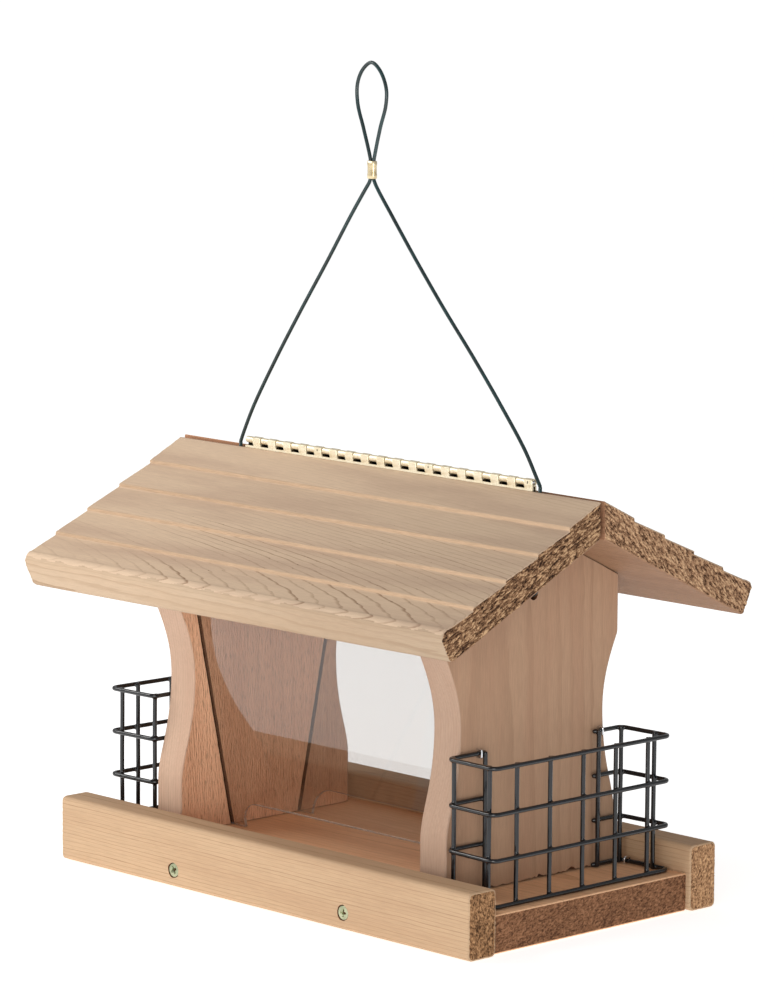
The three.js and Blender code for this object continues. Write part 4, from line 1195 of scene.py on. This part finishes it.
def screw(name, start, direction, head, head_depth, shank, length, slot, finish, body="house"):
    """A countersunk cross-head screw; its head is a polar grid with the recess pressed in."""
    sides = 48
    turn = Z.rotation_difference(Vector(direction).normalized()).to_matrix()
    profile = [(head * k / 13, 0.0) for k in range(1, 13)]
    profile += [(head * 0.965, 0.03), (head, 0.14), (head * 0.985, 0.3), (shank * 1.02, head_depth)]
    threads = []
    for k in range(int((length - head_depth - 3) / 1.1)):
        z = head_depth + 1 + k * 1.1
        threads += [(shank * 0.82, z), (shank, z + 0.3), (shank * 0.82, z + 0.6)]
    profile += threads + [(shank * 0.8, length - 3), (0.15, length)]
    points, faces = [(0.0, 0.0, recess(0, 0, head))], []
    for radius, depth in profile:
        for side in range(sides):
            angle = 2 * math.pi * side / sides
            x, y = radius * math.cos(angle), radius * math.sin(angle)
            lowered = depth + (recess(x, y, head) if depth == 0 else 0)
            points.append((x, y, lowered))
    faces += [[0, 1 + (side + 1) % sides, 1 + side] for side in range(sides)]
    for ring in range(len(profile) - 1):
        a, b = 1 + ring * sides, 1 + (ring + 1) * sides
        for side in range(sides):
            after = (side + 1) % sides
            faces.append([a + side, a + after, b + after, b + side])
    faces.append([1 + (len(profile) - 1) * sides + side for side in range(sides)])
    spun = Matrix.Rotation(math.radians(20 + 37 * (len(name) % 5)), 3, "Z")
    placed = [tuple(Vector(start) + turn @ (spun @ Vector(p))) for p in points]
    piece = make(name + "_driven", np.array(placed), faces, body, name, slot, [finish])
    sharp_shade(piece, 40)


def recess(x, y, head):
    """Depth of the cross recess: four tapered arms."""
    x, y = abs(x) / head, abs(y) / head
    along, aside = max(x, y), min(x, y)
    width = 0.17 - 0.1 * along
    inside = min(max((width - aside) / 0.05 + 0.5, 0), 1) * min(max((0.6 - along) / 0.08, 0), 1)
    return inside * head * (0.42 - 0.35 * along)


def side_name(sign, names):
    return names[0] if sign < 0 else names[1]


SLOPE_NAMES, END_NAMES = ("front", "rear"), ("left", "right")
for slope in BOTH:
    slope_name = side_name(slope, SLOPE_NAMES)
    for end in BOTH:
        end_name = side_name(end, END_NAMES)
        screw(
            f"{slope_name}_rail_screw_{end_name}", (end * 71.5, slope * 98.5, 10), -slope * Y,
            4, 3, 2.1, 38, "zinc_screw", ZINC,
        )
        screw(f"panel_screw_{end_name}_{slope_name}", (end * 110.8, slope * 34, 0.8), Z, 4, 3, 2.1, 45, "zinc_screw", ZINC)
    for place in (-1, 0, 1):
        screw(
            f"hinge_screw_{slope_name}_{place + 2}", (HINGE_X + place * 92, slope * (LEAF_FACE - LEAF_THICKNESS), 236),
            slope * Y, 1.9, 0.9, 1, 10, "hinge_brass", BRASS, "house" if slope < 0 else "lid",
        )
for end in BOTH:
    lean = math.radians(15)
    screw(
        "roof_screw_" + side_name(end, END_NAMES), (end * 104.4, -40, 185),
        (end * math.sin(lean), 0, math.cos(lean)), 3.6, 1.4, 1.9, 32, "zinc_screw", ZINC,
    )


STAPLE_WIRE = 0.6
STAPLE_REACH = WIRE + 0.4 + STAPLE_WIRE


def staple(end, slope, level):
    shift = CAGE_SHIFT[end]
    if level == "top":
        y = slope * (FLANGE_ENDS[0 if slope < 0 else 1] + 4.5) + shift
        z = RING_HEIGHTS[-1]
        corners = [
            (end * x, y, z + side * STAPLE_REACH)
            for x, side in ((PANEL_OUTER - 8, -1), (FLANGE_X + STAPLE_REACH, -1), (FLANGE_X + STAPLE_REACH, 1), (PANEL_OUTER - 8, 1))
        ]
    else:
        y = slope * FLANGE_Y + shift
        crown = RING_HEIGHTS[0] + STAPLE_REACH
        corners = [
            (end * 129, y + side * STAPLE_REACH, z)
            for z, side in ((FLOOR_THICKNESS - 8, -1), (crown, -1), (crown, 1), (FLOOR_THICKNESS - 8, 1))
        ]
    name = f"cage_staple_{side_name(end, END_NAMES)}_{side_name(slope, SLOPE_NAMES)}_{level}"
    points, faces = tube(filled(bent(corners, 0.9, 5), 2.0), STAPLE_WIRE, 12)
    make(name + "_steel", points, faces, "house", name, "bright_steel", [STEEL])


for end in BOTH:
    for slope in BOTH:
        for level in ("top", "bottom"):
            staple(end, slope, level)

# ------------------------------------------------------------------ cable tails, stops and ferrule

TAIL_HEIGHT, TAIL_RISE_TOP, PIVOT_HEIGHT = 184.5, 224.1, 245.8
for end in BOTH:
    name = side_name(end, END_NAMES)
    rise = -123.4 if end < 0 else 123.6
    exit_x = -123.4 if end < 0 else 125.2
    corners = [(end * 92, 0, TAIL_HEIGHT), (rise, 0, TAIL_HEIGHT), (rise, 0, TAIL_RISE_TOP), (exit_x, 0, PIVOT_HEIGHT)]
    rising = end * (exit_x - rise) > 0.01
    route = filled(bent(corners if rising else [corners[0], corners[1], corners[3]], 5.0, 8), 4.0)
    parts = [tube(route, CABLE_RADIUS, 16), ball((exit_x, 0, PIVOT_HEIGHT), CABLE_RADIUS, rings=8, sides=16)]
    make(f"cable_tail_{name}_vinyl", *merge(parts), "house", f"cable_tail_{name}", "green_cable", [CABLE_FINISH])
    ring = []
    for radius, x in ((1.3, 93), (2.0, 93), (2.3, 93.3), (2.3, 95), (2.1, 95.6), (2.1, 97.3), (2.3, 97.9), (2.3, 99.6), (2.0, 99.9), (1.3, 99.9)):
        for side in range(28):
            angle = 2 * math.pi * side / 28
            ring.append((end * x, radius * math.cos(angle), TAIL_HEIGHT + radius * math.sin(angle)))
    loops = len(ring) // 28
    faces = []
    for k in range(loops):
        a, b = 28 * k, 28 * ((k + 1) % loops)
        for side in range(28):
            after = (side + 1) % 28
            faces.append([a + side, a + after, b + after, b + side])
    stop = make(f"cable_stop_{name}_crimp", np.array(ring), faces, "house", f"cable_stop_{name}", "bright_steel", [STEEL])
    sharp_shade(stop, 40)


def ferrule():
    """Two sleeves side by side, pressed round both strands of the loop."""
    sides, wall, strand = 14, 1.95, 1.2
    levels = [(0, -0.3), (0.3, 0), (2.2, 0.06), (3.2, -0.12), (7.0, -0.12), (8.0, 0.06), (9.9, 0), (10.2, -0.3)]

    def section(radius, waist):
        out = []
        for end in BOTH:
            for k in range(sides + 1):
                angle = math.radians(-90 if end > 0 else 90) + math.pi * k / sides
                x, y = end * strand + radius * math.cos(angle), radius * math.sin(angle)
                pinch = waist * math.exp(-((x / 0.7) ** 2))
                out.append((-11.9 + x, y * (1 - pinch)))
        return out

    rings = [section(wall + grow, 0.16) for _, grow in levels] + [section(1.35, 0.0) for _ in levels]
    heights = [409.2 + z for z, _ in levels]
    points = []
    for ring, z in zip(rings, heights + heights):
        points += [(x, y, z) for x, y in ring]
    count, last = len(rings[0]), len(levels) - 1
    faces = []
    for k in range(last):
        for side in range(count):
            after = (side + 1) % count
            a, b = k * count, (k + 1) * count
            faces.append([a + side, a + after, b + after, b + side])
            a, b = (last + 1 + k) * count, (last + 2 + k) * count
            faces.append([a + side, b + side, b + after, a + after])
    for k in (0, last):
        for side in range(count):
            after = (side + 1) % count
            a, b = k * count, (last + 1 + k) * count
            faces.append([a + side, b + side, b + after, a + after])
    piece = make("cable_ferrule_sleeve", np.array(points), faces, "hanger", "cable_ferrule", "ferrule_brass", [FERRULE_BRASS])
    sharp_shade(piece, 45)
    return piece


sleeve = ferrule()

# ------------------------------------------------------------------ stage and light

stage_mesh = bpy.data.meshes.new("stage_floor")
SIZE = 6.0
stage_mesh.from_pydata([(-SIZE, -SIZE, 0), (SIZE, -SIZE, 0), (SIZE, SIZE, 0), (-SIZE, SIZE, 0)], [], [[0, 1, 2, 3]])
stage = bpy.data.objects.new("stage_floor", stage_mesh)
stage.location.z = -0.0005
bpy.context.scene.collection.objects.link(stage)
white = Graph("studio_white")
FLOOR_GLOW = 0.66  # a lit table: it stays white and lights the feeder's undersides
stage_mesh.materials.append(white.shade(
    (243, 243, 243), 0.9, Specular_IOR_Level=0.0, Emission_Color=(1, 1, 1, 1), Emission_Strength=FLOOR_GLOW,
))

scene = bpy.context.scene
scene.view_settings.view_transform = "Standard"
world = bpy.data.worlds.new("studio")
scene.world = world
world.use_nodes = True
AMBIENT, BACKDROP = 0.4, 1.06
soft = world.node_tree.nodes["Background"]
bright = world.node_tree.nodes.new("ShaderNodeBackground")
for node, strength in ((soft, AMBIENT), (bright, BACKDROP)):
    node.inputs["Color"].default_value = (1, 1, 1, 1)
    node.inputs["Strength"].default_value = strength
seen = world.node_tree.nodes.new("ShaderNodeLightPath").outputs["Is Camera Ray"]
either = world.node_tree.nodes.new("ShaderNodeMixShader")
for socket, output in zip(either.inputs, (seen, soft.outputs[0], bright.outputs[0])):
    world.node_tree.links.new(output, socket)
world.node_tree.links.new(either.outputs[0], world.node_tree.nodes["World Output"].inputs[0])


def lamp(name, place, target, size, power, tint=(1, 1, 1)):
    data = bpy.data.lights.new(name, "AREA")
    data.shape = "RECTANGLE"
    data.size, data.size_y = size
    data.energy = power
    data.color = tint
    made = bpy.data.objects.new(name, data)
    made.location = place
    made.rotation_euler = (Vector(target) - Vector(place)).to_track_quat("-Z", "Y").to_euler()
    bpy.context.scene.collection.objects.link(made)
    return made


lamp("key", (-1.15, -0.95, 1.2), (0, 0, 0.15), (0.9, 0.9), 14, (1.0, 0.98, 0.95))
lamp("fill", (1.2, -1.5, 0.35), (0, 0, 0.1), (1.0, 0.7), 14, (1.0, 0.97, 0.94))
